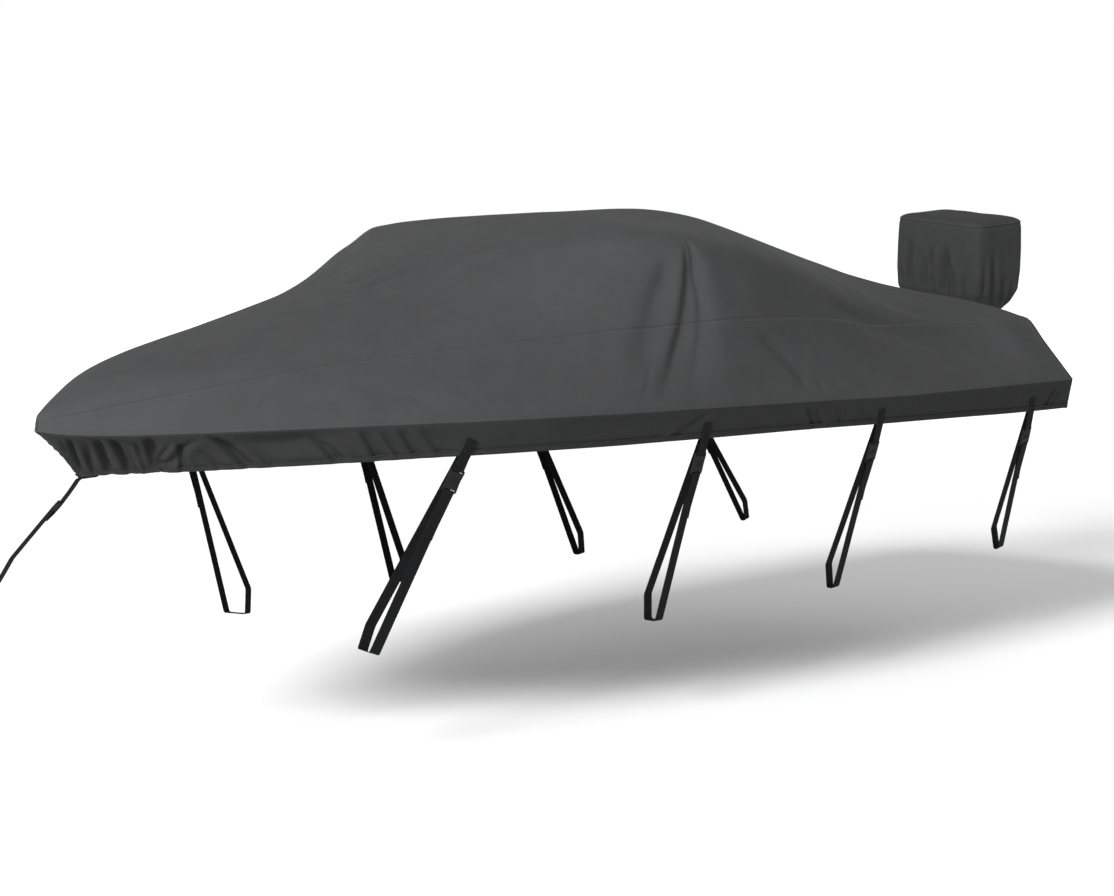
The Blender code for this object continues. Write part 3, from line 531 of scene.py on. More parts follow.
def dark_thread():
    """Thread darkened like the skirts with painted shade, for the hems and the gunwale edges."""
    cloth = bpy.context.scene.boat_cloth
    return thread_finish("shaded_hem_thread", tuple(np.array(cloth.colour) * cloth.skirt_painted_shade * 1.2))


# ---- meshes ----


def add_piece(name, points, faces, finish, uv=None):
    """A smooth mesh object with its place in its mesh, riding on the cover's body."""
    mesh = bpy.data.meshes.new(name)
    mesh.from_pydata([tuple(p) for p in points], [], faces)
    mesh.materials.append(finish)
    mesh.shade_smooth()
    if uv is not None:
        layer = mesh.uv_layers.new(name="weave")
        corners = np.zeros(len(mesh.loops), np.int64)
        mesh.loops.foreach_get("vertex_index", corners)
        layer.data.foreach_set("uv", np.asarray(uv, float)[corners].ravel())
    obj = bpy.data.objects.new(name, mesh)
    bpy.context.scene.collection.objects.link(obj)
    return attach(obj, BODY)


def grid_faces(rows, columns, reverse=False, closed=False):
    """Quads between neighbouring rows and columns; a closed grid joins its last column to its first."""
    faces = []
    for i in range(rows - 1):
        for j in range(columns if closed else columns - 1):
            k = (j + 1) % columns
            quad = (i * columns + j, (i + 1) * columns + j, (i + 1) * columns + k, i * columns + k)
            faces.append(quad[::-1] if reverse else quad)
    return faces


def arc_lengths(grid):
    """Distances along the rows and along the columns of a grid, in metres, as its weave's coordinates."""
    u = np.concatenate([np.zeros((1, grid.shape[1])),
                        np.cumsum(np.linalg.norm(np.diff(grid, axis=0), axis=2), axis=0)])
    v = np.concatenate([np.zeros((grid.shape[0], 1)),
                        np.cumsum(np.linalg.norm(np.diff(grid, axis=1), axis=2), axis=1)], axis=1)
    return np.stack([u, v], 2)


def run_along(line):
    """How far along a line of points each of them lies."""
    return np.concatenate([[0], np.cumsum(np.linalg.norm(np.diff(line, axis=0), axis=1))])


def thicken(obj):
    """Gives a sheet the cloth's thickness, on its inner side."""
    solid = obj.modifiers.new("thickness", "SOLIDIFY")
    solid.thickness = bpy.context.scene.boat_cloth.thickness
    solid.offset = -1.0
    solid.use_even_offset = False


def add_cloth(name, grid, node, reverse=False, finish=None, closed=False):
    """A sheet of the cover's cloth in place of a CAD node, from a grid whose faces point out of the cover."""
    uv = arc_lengths(grid).reshape(-1, 2)
    faces = grid_faces(grid.shape[0], grid.shape[1], reverse, closed)
    points = (grid - HANG_POINT).reshape(-1, 3)
    obj = add_piece(name, points, faces, finish or cloth_finish(), uv)
    thicken(obj)
    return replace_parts(obj, node)


# ---- the fitted surface ----


def spline_weights(where, count):
    """Weights of count control points on a uniform cubic spline that starts and ends on its end points."""
    where = np.atleast_1d(np.asarray(where, float))
    first = np.clip(np.floor(where).astype(int), 0, count - 2)
    f = where - first
    four = np.stack([(1 - f) ** 3, 3 * f**3 - 6 * f**2 + 4, 1 + 3 * f + 3 * f**2 - 3 * f**3, f**3], 1) / 6
    padded = np.zeros((len(where), count + 2))
    for k in range(4):
        padded[np.arange(len(where)), first + k] += four[:, k]
    weights = padded[:, 1:-1].copy()
    weights[:, 0] += 2 * padded[:, 0]
    weights[:, 1] -= padded[:, 0]
    weights[:, -1] += 2 * padded[:, -1]
    weights[:, -2] -= padded[:, -1]
    return weights


def station(name):
    """One column of the stations' table."""
    return np.array(STATIONS)[:, STATION_COLUMNS.index(name)]


def section_controls():
    """Control points of every section, port gunwale over the crown to starboard gunwale: (stations, 9, 3)."""
    gunwale = np.stack([station("half_beam"), station("gunwale_z")], 1)
    shoulder = np.stack([station("shoulder_y"), station("shoulder_z")], 1)
    crown = np.stack([0 * station("x"), station("crown_z")], 1)
    below = shoulder + (gunwale - shoulder) * station("corner")[:, None]
    halfway_z = station("crown_z") - station("arch") * (station("crown_z") - station("shoulder_z"))
    halfway = np.stack([station("shoulder_y") / 2, halfway_z], 1)
    half = np.stack([gunwale, below, shoulder, halfway, crown], 1)
    across = np.concatenate([half * (-1, 1), half[:, -2::-1]], 1)
    along = np.repeat(station("x")[:, None, None], across.shape[1], 1)
    return np.concatenate([along, across], 2)


def along_at(x):
    """The spline's own coordinate, in stations, at each x."""
    fine = np.linspace(0, len(STATIONS) - 1, 1901)
    return np.interp(x, spline_weights(fine, len(STATIONS)) @ station("x"), fine)


def cover_points(along, v):
    """Points at (along, v): v has one row per section, 0 at the port gunwale and 2 * CROWN_V at starboard."""
    sections = np.einsum("as,skc->akc", spline_weights(along, len(STATIONS)), section_controls())
    weights = spline_weights(v.ravel(), 9).reshape(*v.shape, 9)
    return np.einsum("avk,akc->avc", weights, sections)


def at_stations(name, along):
    """One column of the stations' table, read between the stations."""
    return spline_weights(along, len(STATIONS)) @ station(name)


def seam_v(along):
    """Where the lengthwise seam crosses each section, as v on the port side."""
    fine = np.linspace(0, CROWN_V, 161)
    heights = cover_points(along, np.tile(fine, (len(along), 1)))[:, :, 2]
    wanted = heights[:, 0] + at_stations("seam_rise", along)
    return np.array([np.interp(z, row, fine) for z, row in zip(wanted, heights)])


def unit(vector):
    vector = np.asarray(vector, float)
    return vector / np.maximum(np.linalg.norm(vector, axis=-1, keepdims=True), 1e-12)


def facings(grid):
    """The way each place of a grid faces."""
    return unit(np.cross(np.gradient(grid, axis=0), np.gradient(grid, axis=1)))


def facings_out(panel, column):
    """A side panel's facings, turned so that they point out of the cover at this column."""
    out = facings(panel)
    middle = len(out) // 2
    return out * np.sign((out[middle, column] * (0, np.sign(panel[middle, column, 1]), 1)).sum())


def rolled(edge, down, inward, radius, angles):
    """Rows that roll in from an edge, one for each angle in degrees."""
    return [edge + down * (radius * math.sin(angle)) + inward * (radius * (1 - math.cos(angle)))
            for angle in np.radians(angles)]


def bent_line(start, middle, end, count=25):
    """Points of the curve through three points."""
    t = np.linspace(0, 1, count)[:, None]
    start, middle, end = (np.array(p, float) for p in (start, middle, end))
    pull = 2 * middle - (start + end) / 2
    return (1 - t) ** 2 * start + 2 * t * (1 - t) * pull + t**2 * end


def along_and_off(points, line):
    """How far along a line, from 0 to 1, each point's nearest place is, and how far off it the point lies.

    Off is positive towards the second axis turned to the first, such as aft of a line that runs down.
    """
    best_off = np.full(points.shape[:-1], np.inf)
    best_along = np.zeros(points.shape[:-1])
    for k, (a, b) in enumerate(zip(line[:-1], line[1:])):
        share = np.clip(((points - a) @ (b - a)) / ((b - a) @ (b - a)), 0, 1)
        away = points - a - share[..., None] * (b - a)
        side = np.where((b - a)[0] * away[..., 1] - (b - a)[1] * away[..., 0] < 0, -1, 1)
        off = side * np.linalg.norm(away, axis=-1)
        nearer = np.abs(off) < np.abs(best_off)
        best_off = np.where(nearer, off, best_off)
        best_along = np.where(nearer, (k + share) / (len(line) - 1), best_along)
    return best_along, best_off


def fade(x, start, end):
    """0 up to the start and 1 from the end, softly between."""
    t = np.clip((x - start) / (end - start), 0, 1)
    return t * t * (3 - 2 * t)


def trough(off, breadth, lift):
    """A fold's cross-section: 1 at its line, and the cloth lifted beside it."""
    share = np.abs(off) / breadth
    return np.exp(-(share**2)) - lift * np.exp(-(((share - 2.0) / 1.1) ** 2))


def unevenness(points, size, seed):
    """Soft noise from -1 to 1 at each point, as wide as size."""
    flat = points.reshape(-1, 3) / size + seed
    values = np.array([noise.noise(Vector(p)) for p in flat])
    return values.reshape(points.shape[:-1])


def cloth_relief(grid):
    """How far each point of the upper surface lies in, from folds, swells and the cloth's unevenness."""
    depth = np.zeros(grid.shape[:2])
    side_view = grid[:, :, [0, 2]]
    outer = np.abs(grid[:, :, 1]) > 0.5
    share_of_side = np.where(grid[:, :, 1] < 0, 1.0, STARBOARD_FOLD_SHARE) * outer
    for x0, z0, x1, z1, x2, z2, fore, aft, fold_depth, lift in SIDE_FOLDS:
        share, off = along_and_off(side_view, bent_line((x0, z0), (x1, z1), (x2, z2)))
        spread = np.where(off > 0, aft, fore) * (0.6 + 1.1 * share)
        ends = fade(share, 0, 0.20) * (1 - 0.75 * fade(share, 0.6, 1))
        depth += fold_depth * trough(off, spread, lift) * ends * share_of_side
    for x0, y0, x1, y1, breadth, fold_depth in TOP_FOLDS:
        share, off = along_and_off(grid[:, :, :2], np.array([(x0, y0), (x1, y1)]))
        ends = fade(share, 0, 0.3) * (1 - fade(share, 0.65, 1)) * (grid[:, :, 2] > 1.55)
        depth += fold_depth * np.exp(-((off / breadth) ** 2)) * ends
    for x, z, along, up, height in SWELLS:
        away = ((side_view[:, :, 0] - x) / along) ** 2 + ((side_view[:, :, 1] - z) / up) ** 2
        depth -= height * np.exp(-away) * share_of_side
    slack = bpy.context.scene.boat_cloth.slack
    broad = unevenness(grid * (1, 1, 1.6), 0.52, 3.7)
    close = unevenness(grid * (1, 1, 1.3), 0.17, 11.2)
    return depth + slack * (broad + 0.28 * close)


def places_along(steps):
    """Station x of each cut, evenly spread within each stretch."""
    places = [0.0]
    for to_x, step in steps:
        count = max(1, round((to_x - places[-1]) / step))
        places += list(np.linspace(places[-1], to_x, count + 1)[1:])
    return np.array(places)


def cover_grid():
    """The upper surface with its folds, and the columns at which the two seams run."""
    along = along_at(places_along(CLOTH_STEPS))
    seam = seam_v(along)[:, None]
    side = np.linspace(0, 1, SIDE_ROWS + 1)
    shoulder = np.linspace(0, 1, SHOULDER_ROWS + 1)[1:]
    crown = np.linspace(0, 1, CROWN_ROWS + 1)[1:]
    half = np.concatenate([seam * side, seam + (SHOULDER_V - seam) * shoulder,
                           SHOULDER_V + (CROWN_V - SHOULDER_V) * crown + 0 * seam], 1)
    v = np.concatenate([half, 2 * CROWN_V - half[:, -2::-1]], 1)
    grid = cover_points(along, v)
    at_crease = fade(np.minimum(v, 2 * CROWN_V - v), 0.0, 0.22)
    grid = grid - facings(grid) * (cloth_relief(grid) * at_crease)[:, :, None]
    middle = SIDE_ROWS + SHOULDER_ROWS + CROWN_ROWS
    grid[0, :middle, 1] = -BOW_SLIT
    grid[0, middle + 1:, 1] = BOW_SLIT
    return grid, SIDE_ROWS, v.shape[1] - 1 - SIDE_ROWS


def lapped(panel):
    """A side panel whose last edge lies a little over the next panel, as in a lapped seam."""
    panel = panel[:, ::-1]
    lap = SEAM_LAP * np.clip(np.abs(panel[:, 0, 1:2]) / 0.05, 0, 1)
    first = panel[:, 0] + unit(panel[:, 0] - panel[:, 1]) * lap
    whole = np.concatenate([first[:, None], panel], 1)
    out = facings_out(whole, 1)
    over = arc_lengths(whole)[:, :, 1]
    return (whole + out * (SEAM_RISE * (1 - fade(over, SEAM_LAP, SEAM_EASE)))[:, :, None])[:, ::-1]


def turned_edge(panel):
    """A side panel with its gunwale edge turned in over the skirt: first rows at the edge."""
    edge = panel[:, 0]
    down = unit(edge - panel[:, 1])
    inward = unit(np.cross(np.gradient(edge, axis=0), down))
    inward *= np.sign(-inward[len(edge) // 2, 1] * edge[len(edge) // 2, 1])
    rows = rolled(edge, down, inward, GUNWALE_TURN, (100, 75, 50, 25))
    return np.concatenate([np.stack(rows, 1), panel], 1)


def line_on(panel, distance):
    """A line on a panel at this distance from its first row, with the way out of the cloth at each point."""
    v = arc_lengths(panel)[:, :, 1]

    def read(grid):
        return np.stack([[np.interp(distance, run, row[:, k]) for run, row in zip(v, grid)] for k in range(3)], 1)

    return read(panel), unit(read(facings_out(panel, 3)))


# ---- the skirt ----


def hem_points(along):
    """The port hem below each section."""
    x, half_beam = at_stations("x", along), at_stations("half_beam", along)
    tuck = np.minimum(half_beam / 2, SIDE_TUCK + BOW_TUCK * np.exp(-x / BOW_TUCK_FADE))
    hem_x = x + BOW_RAKE * np.exp(-x / BOW_RAKE_FADE)
    hem_z = at_stations("gunwale_z", along) - at_stations("skirt_drop", along)
    return np.stack([hem_x, -(half_beam - tuck), hem_z], 1)


def casing_bulge(above_hem):
    """How far the doubled hem with its drawstring stands out, by height above the hem."""
    cord = CORD_BULGE * np.exp(-(((above_hem - CORD_HEIGHT) / CORD_BREADTH) ** 2))
    pinch = -PINCH_DEPTH * np.exp(-(((above_hem - HEM_CASING) / PINCH_BREADTH) ** 2))
    return cord + pinch


def skirt_grid():
    """The port skirt, gunwale to hem, gathered towards the hem, with the hem's casing but without its turn."""
    x = places_along(SKIRT_STEPS)
    along = along_at(x)
    edge, inner = (cover_points(along, np.full((len(x), 1), v))[:, 0] for v in (0.0, 0.05))
    down_side = unit(edge - inner)
    panel_out = unit(np.cross(np.gradient(edge, axis=0), inner - edge))
    top = edge - panel_out * SKIRT_BEHIND + down_side * SKIRT_BELOW
    hem = hem_points(along)
    height = np.linalg.norm(hem - top, axis=1)[:, None]
    down = 1 - np.linspace(1, 0, SKIRT_ROWS + 1) ** 1.25
    down[0], down[-1] = 0, 1
    grid = top[:, None] + (hem - top)[:, None] * down[None, :, None]
    run = run_along(edge)
    down = np.tile(down, (len(x), 1))
    depth = HEM_DRAW * down**2 + BOW_HOLLOW * np.sin(math.pi * down) * np.exp(-x / BOW_HOLLOW_FADE)[:, None]
    for x_tuck, tuck_breadth, tuck_depth in SKIRT_TUCKS:
        tucked = np.exp(-(((x - x_tuck) / tuck_breadth) ** 2))[:, None]
        depth = depth + tuck_depth * tucked * fade(down, 0, 0.30) * (1 - fade(down, 0.30, 0.95))
    place = np.stack([np.tile(run[:, None], (1, down.shape[1])), down * height], -1)
    for x_top, x_hem, start, breadth, gather_depth in GATHERS:
        run_top, run_hem = np.interp((x_top, x_hem), x, run)
        tall = np.interp(x_top, x, height[:, 0])
        line = bent_line((run_top, start * tall), ((run_top * 0.55 + run_hem * 0.45), (0.4 + start / 2) * tall),
                         (run_hem, tall))
        _, off = along_and_off(place, line)
        spread = breadth * (0.7 + 0.5 * down) * np.where(off < 0, 1.5, 0.75)
        ends = fade(down, start * 0.6, start + 0.30) * (1 - 0.84 * fade(down, 0.78, 1))
        deep = gather_depth * (1 + 0.9 * math.exp(-x_top / 0.5))
        depth = depth + deep * trough(off, spread, 0.25) * ends
    gathered = 0.45 + 0.9 * np.exp(-x / 0.55)[:, None] + 0.25 * np.exp(-(((x - 3.3) / 0.3) ** 2))[:, None]
    wrinkled = np.zeros(down.shape)
    for size_along, size_down, height_of, start, full, fade_from, fade_share, seed in SKIRT_WRINKLES:
        sizes = np.stack([place[..., 0] / size_along, place[..., 1] / size_down, 0 * down], -1)
        wrinkled += (height_of * unevenness(sizes, 1.0, seed) * fade(down, start, full)
                     * (1 - fade_share * fade(down, fade_from, 1)))
    depth = depth + gathered * wrinkled
    depth = depth + 0.0020 * unevenness(np.stack([place[..., 0] / 0.30, down, 0 * down], -1), 1.0, 2.3)
    depth = depth - casing_bulge((1 - down) * height)
    grid = grid + facings(grid) * (depth * fade(down, 0, 0.10))[:, :, None]
    grid[0, :, 1] = -BOW_SLIT - 0.0004
    return grid


def turned_hem(grid):
    """A hanging cloth with its hem rolled in and turned up inside."""
    hem, above = grid[:, -1], grid[:, -2]
    down = unit(hem - above)
    inward = unit(np.cross(down, np.gradient(hem, axis=0)))
    middle = len(hem) // 2
    centre = np.array((3.0, 0.0, hem[middle, 2]))
    inward *= np.sign(inward[middle] @ (centre - hem[middle]))
    roll = rolled(hem, down, inward, HEM_ROLL, (30, 60, 90, 120, 150, 180))
    turn = [roll[-1] - down * (HEM_TURN * share) for share in (0.33, 0.66, 1.0)]
    return np.concatenate([grid, np.stack(roll + turn, 1)], 1)


def stern_grid(upper):
    """The flat end cloth, from the last section's edge down to the hem, hanging a little uneven."""
    last = upper[-1]
    hem = hem_points(along_at([STATIONS[-1][0]]))[0]
    drop = np.linspace(0, 1, STERN_ROWS + 1)[:, None]
    top = last + (0.0022, 0, 0)
    bottom = np.stack([top[:, 0], top[:, 1] * (hem[1] / last[0, 1]), np.full(len(top), hem[2])], 1)
    grid = top[None] + (bottom - top)[None] * drop[:, :, None]
    slack = bpy.context.scene.boat_cloth.slack
    hung = unevenness(grid * (1, 2.0, 0.7), 0.34, 7.9) * slack * 1.3
    gathered = unevenness(grid * (1, 9.0, 1.0), 0.34, 1.3) * 0.0022 * drop**3
    free = np.sin(math.pi * np.clip(drop * 0.5, 0, 1)) * np.ones((1, len(top)))
    free = free * fade(np.minimum(np.arange(len(top)), np.arange(len(top))[::-1]) / len(top), 0, 0.03)[None]
    bulge = casing_bulge(grid[:, :, 2] - hem[2])
    grid[:, :, 0] += (hung + gathered) * free + bulge * fade(drop, 0.5, 0.9)
    return grid


# ---- the motor hood ----


def eased(x, places, values, soft):
    """A table read at x with its corners softened."""
    return np.mean([np.interp(x + step, places, values) for step in np.linspace(-soft, soft, 9)], axis=0)


def hood_outline(across, along):
    """Points in even steps round the hood at the given breadths and lengths, one row for each."""
    fine = np.linspace(0, 2 * math.pi, 1441)
    power = 2 / HOOD_SQUARENESS
    x = HOOD_ALONG / 2 * np.sign(np.cos(fine)) * np.abs(np.cos(fine)) ** power
    y = HOOD_ACROSS / 2 * np.sign(np.sin(fine)) * np.abs(np.sin(fine)) ** power
    run = np.concatenate([[0], np.cumsum(np.hypot(np.diff(x), np.diff(y)))])
    even = np.linspace(0, run[-1], HOOD_SIDES, endpoint=False)
    x, y, turn = (np.interp(even, run, values) for values in (x, y, fine))
    return np.stack([along[:, None] * x, across[:, None] * y], -1), turn


def hood_relief(places, heights):
    """How far the folds draw each point of the hood's sides in."""
    x, y = places[..., 0], places[..., 1]
    faces = {
        "bow": (-x / (HOOD_ALONG / 2), y), "stern": (x / (HOOD_ALONG / 2), y),
        "port": (-y / (HOOD_ACROSS / 2), x), "starboard": (y / (HOOD_ACROSS / 2), x),
    }
    depth = np.zeros(x.shape)
    for face, place, drift, high, low, breadth, fold_depth in HOOD_FOLDS:
        facing, across = faces[face]
        line = bent_line((place, high), (place + drift * 0.3, (high + low) / 2), (place + drift, low), 9)
        share, off = along_and_off(np.stack([across, heights], -1), line)
        ends = fade(share, 0, 0.45) * (1 - 0.5 * fade(share, 0.75, 1))
        depth += fold_depth * trough(off, breadth, 0.25) * ends * fade(facing, 0.70, 0.93)
    return depth


def hood_point(places, heights):
    """Points of the hood in the cover's frame, as if HANG_POINT hadn't been taken off."""
    turned = np.array(Euler(HOOD_TURN).to_matrix())
    return np.concatenate([places, heights[..., None]], -1) @ turned.T + np.array(HOOD_AT)


def hood_side_grid():
    """The hood's sides from their hem to the seam, with their folds."""
    heights = np.linspace(0, 1, HOOD_ROWS + 1) ** 0.95 * HOOD_RINGS[-1][0]
    table = np.array(HOOD_RINGS)
    across = eased(heights, table[:, 0], table[:, 1], 0.010)
    along = eased(heights, table[:, 0], table[:, 2], 0.010)
    places, turn = hood_outline(across, along)
    tall = np.tile(heights[:, None], (1, HOOD_SIDES))
    depth = hood_relief(places, tall)
    ring = np.stack([np.cos(turn), np.sin(turn)], -1) * HOOD_HEM_WAVES
    round_the_hem = ring[None] * np.ones((len(heights), 1, 1))
    hem = unevenness(np.concatenate([round_the_hem, tall[..., None] * 9], -1), 1.0, 4.2)
    hung = unevenness(np.concatenate([places, tall[..., None] * 0.7], -1), 0.11, 6.6)
    depth = depth + HOOD_HEM_UNEVEN * hem * (1 - fade(tall, 0.0, HOOD_HEM_REACH)) + HOOD_UNEVEN * hung
    depth = depth - HOOD_CORD_BULGE * np.exp(-(((tall - HOOD_CORD_HEIGHT) / HOOD_CORD_BREADTH) ** 2))
    depth *= 1 - fade(tall, 0.470, 0.490)
    outward = unit(places * (1 / HOOD_ALONG**2, 1 / HOOD_ACROSS**2))
    outward = unit(outward * np.abs(outward) ** 2)
    return hood_point(places - outward * depth[..., None], tall)


def hood_top_grid():
    """The hood's top from its seam to near its middle."""
    table = np.array(HOOD_TOP_RINGS)
    steps = np.linspace(0, 1, HOOD_TOP_ROWS + 1)
    rings = np.linspace(0, 1, len(table))
    height, across, along = (eased(steps, rings, table[:, k], 0.05) for k in range(3))
    places, _ = hood_outline(across, along)
    tall = np.tile(height[:, None], (1, HOOD_SIDES))
    sag = HOOD_SAG * unevenness(np.concatenate([places, tall[..., None]], -1), 0.13, 8.8)
    seam = HOOD_SEAM_BULGE * np.exp(-(((1 - across[:, None]) / 0.035) ** 2))
    return hood_point(places, tall + (sag * fade(steps, 0.15, 0.6)[:, None] + seam))


# ---- straps and buckles ----


def rounded(line, radii, steps=6):
    """A line of points with each inner corner replaced by a short bend of its own radius."""
    line = [np.array(p, float) for p in line]
    out = [line[0]]
    t = np.linspace(0, 1, steps + 1)[:, None]
    for before, corner, after, radius in zip(line[:-2], line[1:-1], line[2:], radii):
        come = corner + (before - corner) * (radius / np.linalg.norm(before - corner))
        leave = corner + (after - corner) * (radius / np.linalg.norm(after - corner))
        out += list((1 - t) ** 2 * come + 2 * t * (1 - t) * corner + t**2 * leave)
    return np.array(out + [line[-1]])


def divided(line, step=0.014):
    """The same line with its long runs divided."""
    points = [line[0]]
    for a, b in zip(line[:-1], line[1:]):
        count = max(1, round(np.linalg.norm(b - a) / step))
        points += [a + (b - a) * k / count for k in range(1, count + 1)]
    return np.array(points)


def add_webbing(name, line, across, width, node):
    """A flat strap with thick woven edges, centred on a line of points, its width along the way across."""
    line = divided(line)
    ways = unit(np.gradient(line, axis=0))
    across = unit(across - ways * (ways @ across)[:, None])
    out = np.cross(ways, across)
    half = np.array(HALF_WEBBING)
    profile = np.concatenate([half, -half]) * (width / 2, WEBBING_THICK / 2)
    waver = unevenness(line, 0.22, 1.9) * 0.0007
    grid = (line[:, None] + across[:, None] * profile[None, :, :1]
            + out[:, None] * (profile[None, :, 1:] + waver[:, None, None]))
    rows, columns = grid.shape[:2]
    faces = grid_faces(rows, columns, closed=True)
    faces += [tuple(range(columns)), tuple(range((rows - 1) * columns, rows * columns))[::-1]]
    run = run_along(line)
    uv = np.stack(np.broadcast_arrays(run[:, None], profile[None, :, 0]), -1).reshape(-1, 2)
    obj = add_piece(name, (grid - HANG_POINT).reshape(-1, 3), faces, webbing_finish(), uv)
    obj.data.set_sharp_from_angle(angle=math.radians(60))
    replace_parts(obj, node)
    return obj


def is_slot(row, column):
    """Whether this cell of a buckle's plate is one of its slots."""
    return column == 1 and row in BUCKLE_SLOT_ROWS


def add_buckle(name, size, centre, across, down, out, node):
    """A buckle with a slot at each end: a plate of cells, without those at the slots."""
    half_width, half_thick, half_tall = (side / 2 for side in size)
    places = [(share * half_width * width, sign * thick * half_thick, height * half_tall)
              for height, width, thick in BUCKLE_ROWS
              for sign in (-1, 1)
              for share in (-1, -BUCKLE_SLOT, BUCKLE_SLOT, 1)]
    rows, front, columns = len(BUCKLE_ROWS), 4, 4
    faces = []
    for i in range(rows - 1):
        for j in range(columns - 1):
            if is_slot(i, j):
                continue
            low, high = 2 * columns * i + j, 2 * columns * (i + 1) + j
            faces.append((low, low + 1, high + 1, high))
            faces.append((low + front, high + front, high + front + 1, low + front + 1))
            if j == 0 or is_slot(i, j - 1):
                faces.append((low, high, high + front, low + front))
            if j == columns - 2 or is_slot(i, j + 1):
                faces.append((low + 1, low + front + 1, high + front + 1, high + 1))
            if i == 0 or is_slot(i - 1, j):
                faces.append((low, low + front, low + front + 1, low + 1))
            if i == rows - 2 or is_slot(i + 1, j):
                faces.append((high, high + 1, high + front + 1, high + front))
    axes = np.stack([across, -out, -down])
    if np.linalg.det(axes) < 0:
        faces = [face[::-1] for face in faces]
    points = np.array(places) @ axes + centre - HANG_POINT
    obj = add_piece(name, points, faces, plastic_finish())
    obj.data.set_sharp_from_angle(angle=math.radians(50))
    bevel = obj.modifiers.new("moulded_edges", "BEVEL")
    bevel.width = bpy.context.scene.boat_straps.buckle_round * size[0] / BUCKLE_SIZE[0]
    bevel.segments = 3
    bevel.harden_normals = True
    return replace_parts(obj, node)


def bar_places(size):
    """How far from a buckle's middle its bars lie, and how far off a bar's middle the webbing turns."""
    outer, inner = BUCKLE_ROWS[-1][0], BUCKLE_ROWS[-2][0]
    middle = (outer + inner) / 2 * size[2] / 2
    turn = WEBBING_THICK / 2 + SKIN
    beyond = (outer - inner) / 2 * size[2] / 2 + turn
    beside = BUCKLE_ROWS[-1][2] * size[1] / 2 + turn
    return middle, beyond, beside


def skirt_line(skirt, x, tangent, choose):
    """The skirt's face at station x, hem first: the outermost or innermost of some places across webbing."""
    line = []
    for row in skirt.swapaxes(0, 1)[::-2]:
        places = x + np.linspace(-0.6, 0.6, 9) * WEBBING
        y = np.interp(places, row[:, 0], row[:, 1]) - (places - x) * tangent[1] / tangent[0]
        line.append((x, choose(y), np.interp(x, row[:, 0], row[:, 2])))
    return np.array(line)


class Stitches:
    """Lines of stitches, each a list of points with the way out of the cloth at each."""

    def __init__(self):
        self.points, self.outs, self.edges = [], [], []

    def add(self, points, outs, closed=False):
        first = len(self.points)
        self.points += [tuple(p) for p in points]
        self.outs += [tuple(o) for o in np.broadcast_to(outs, np.shape(points))]
        count = len(points)
        self.edges += [(first + k, first + k + 1) for k in range(count - 1)]
        if closed:
            self.edges.append((first + count - 1, first))

    def follow(self, places, outs):
        """A row from just behind the bow tip, off its cloth by the stitches' own lift."""
        self.add(places[UNSEWN_CUTS:] + outs[UNSEWN_CUTS:] * STITCH_LIFT, outs[UNSEWN_CUTS:])


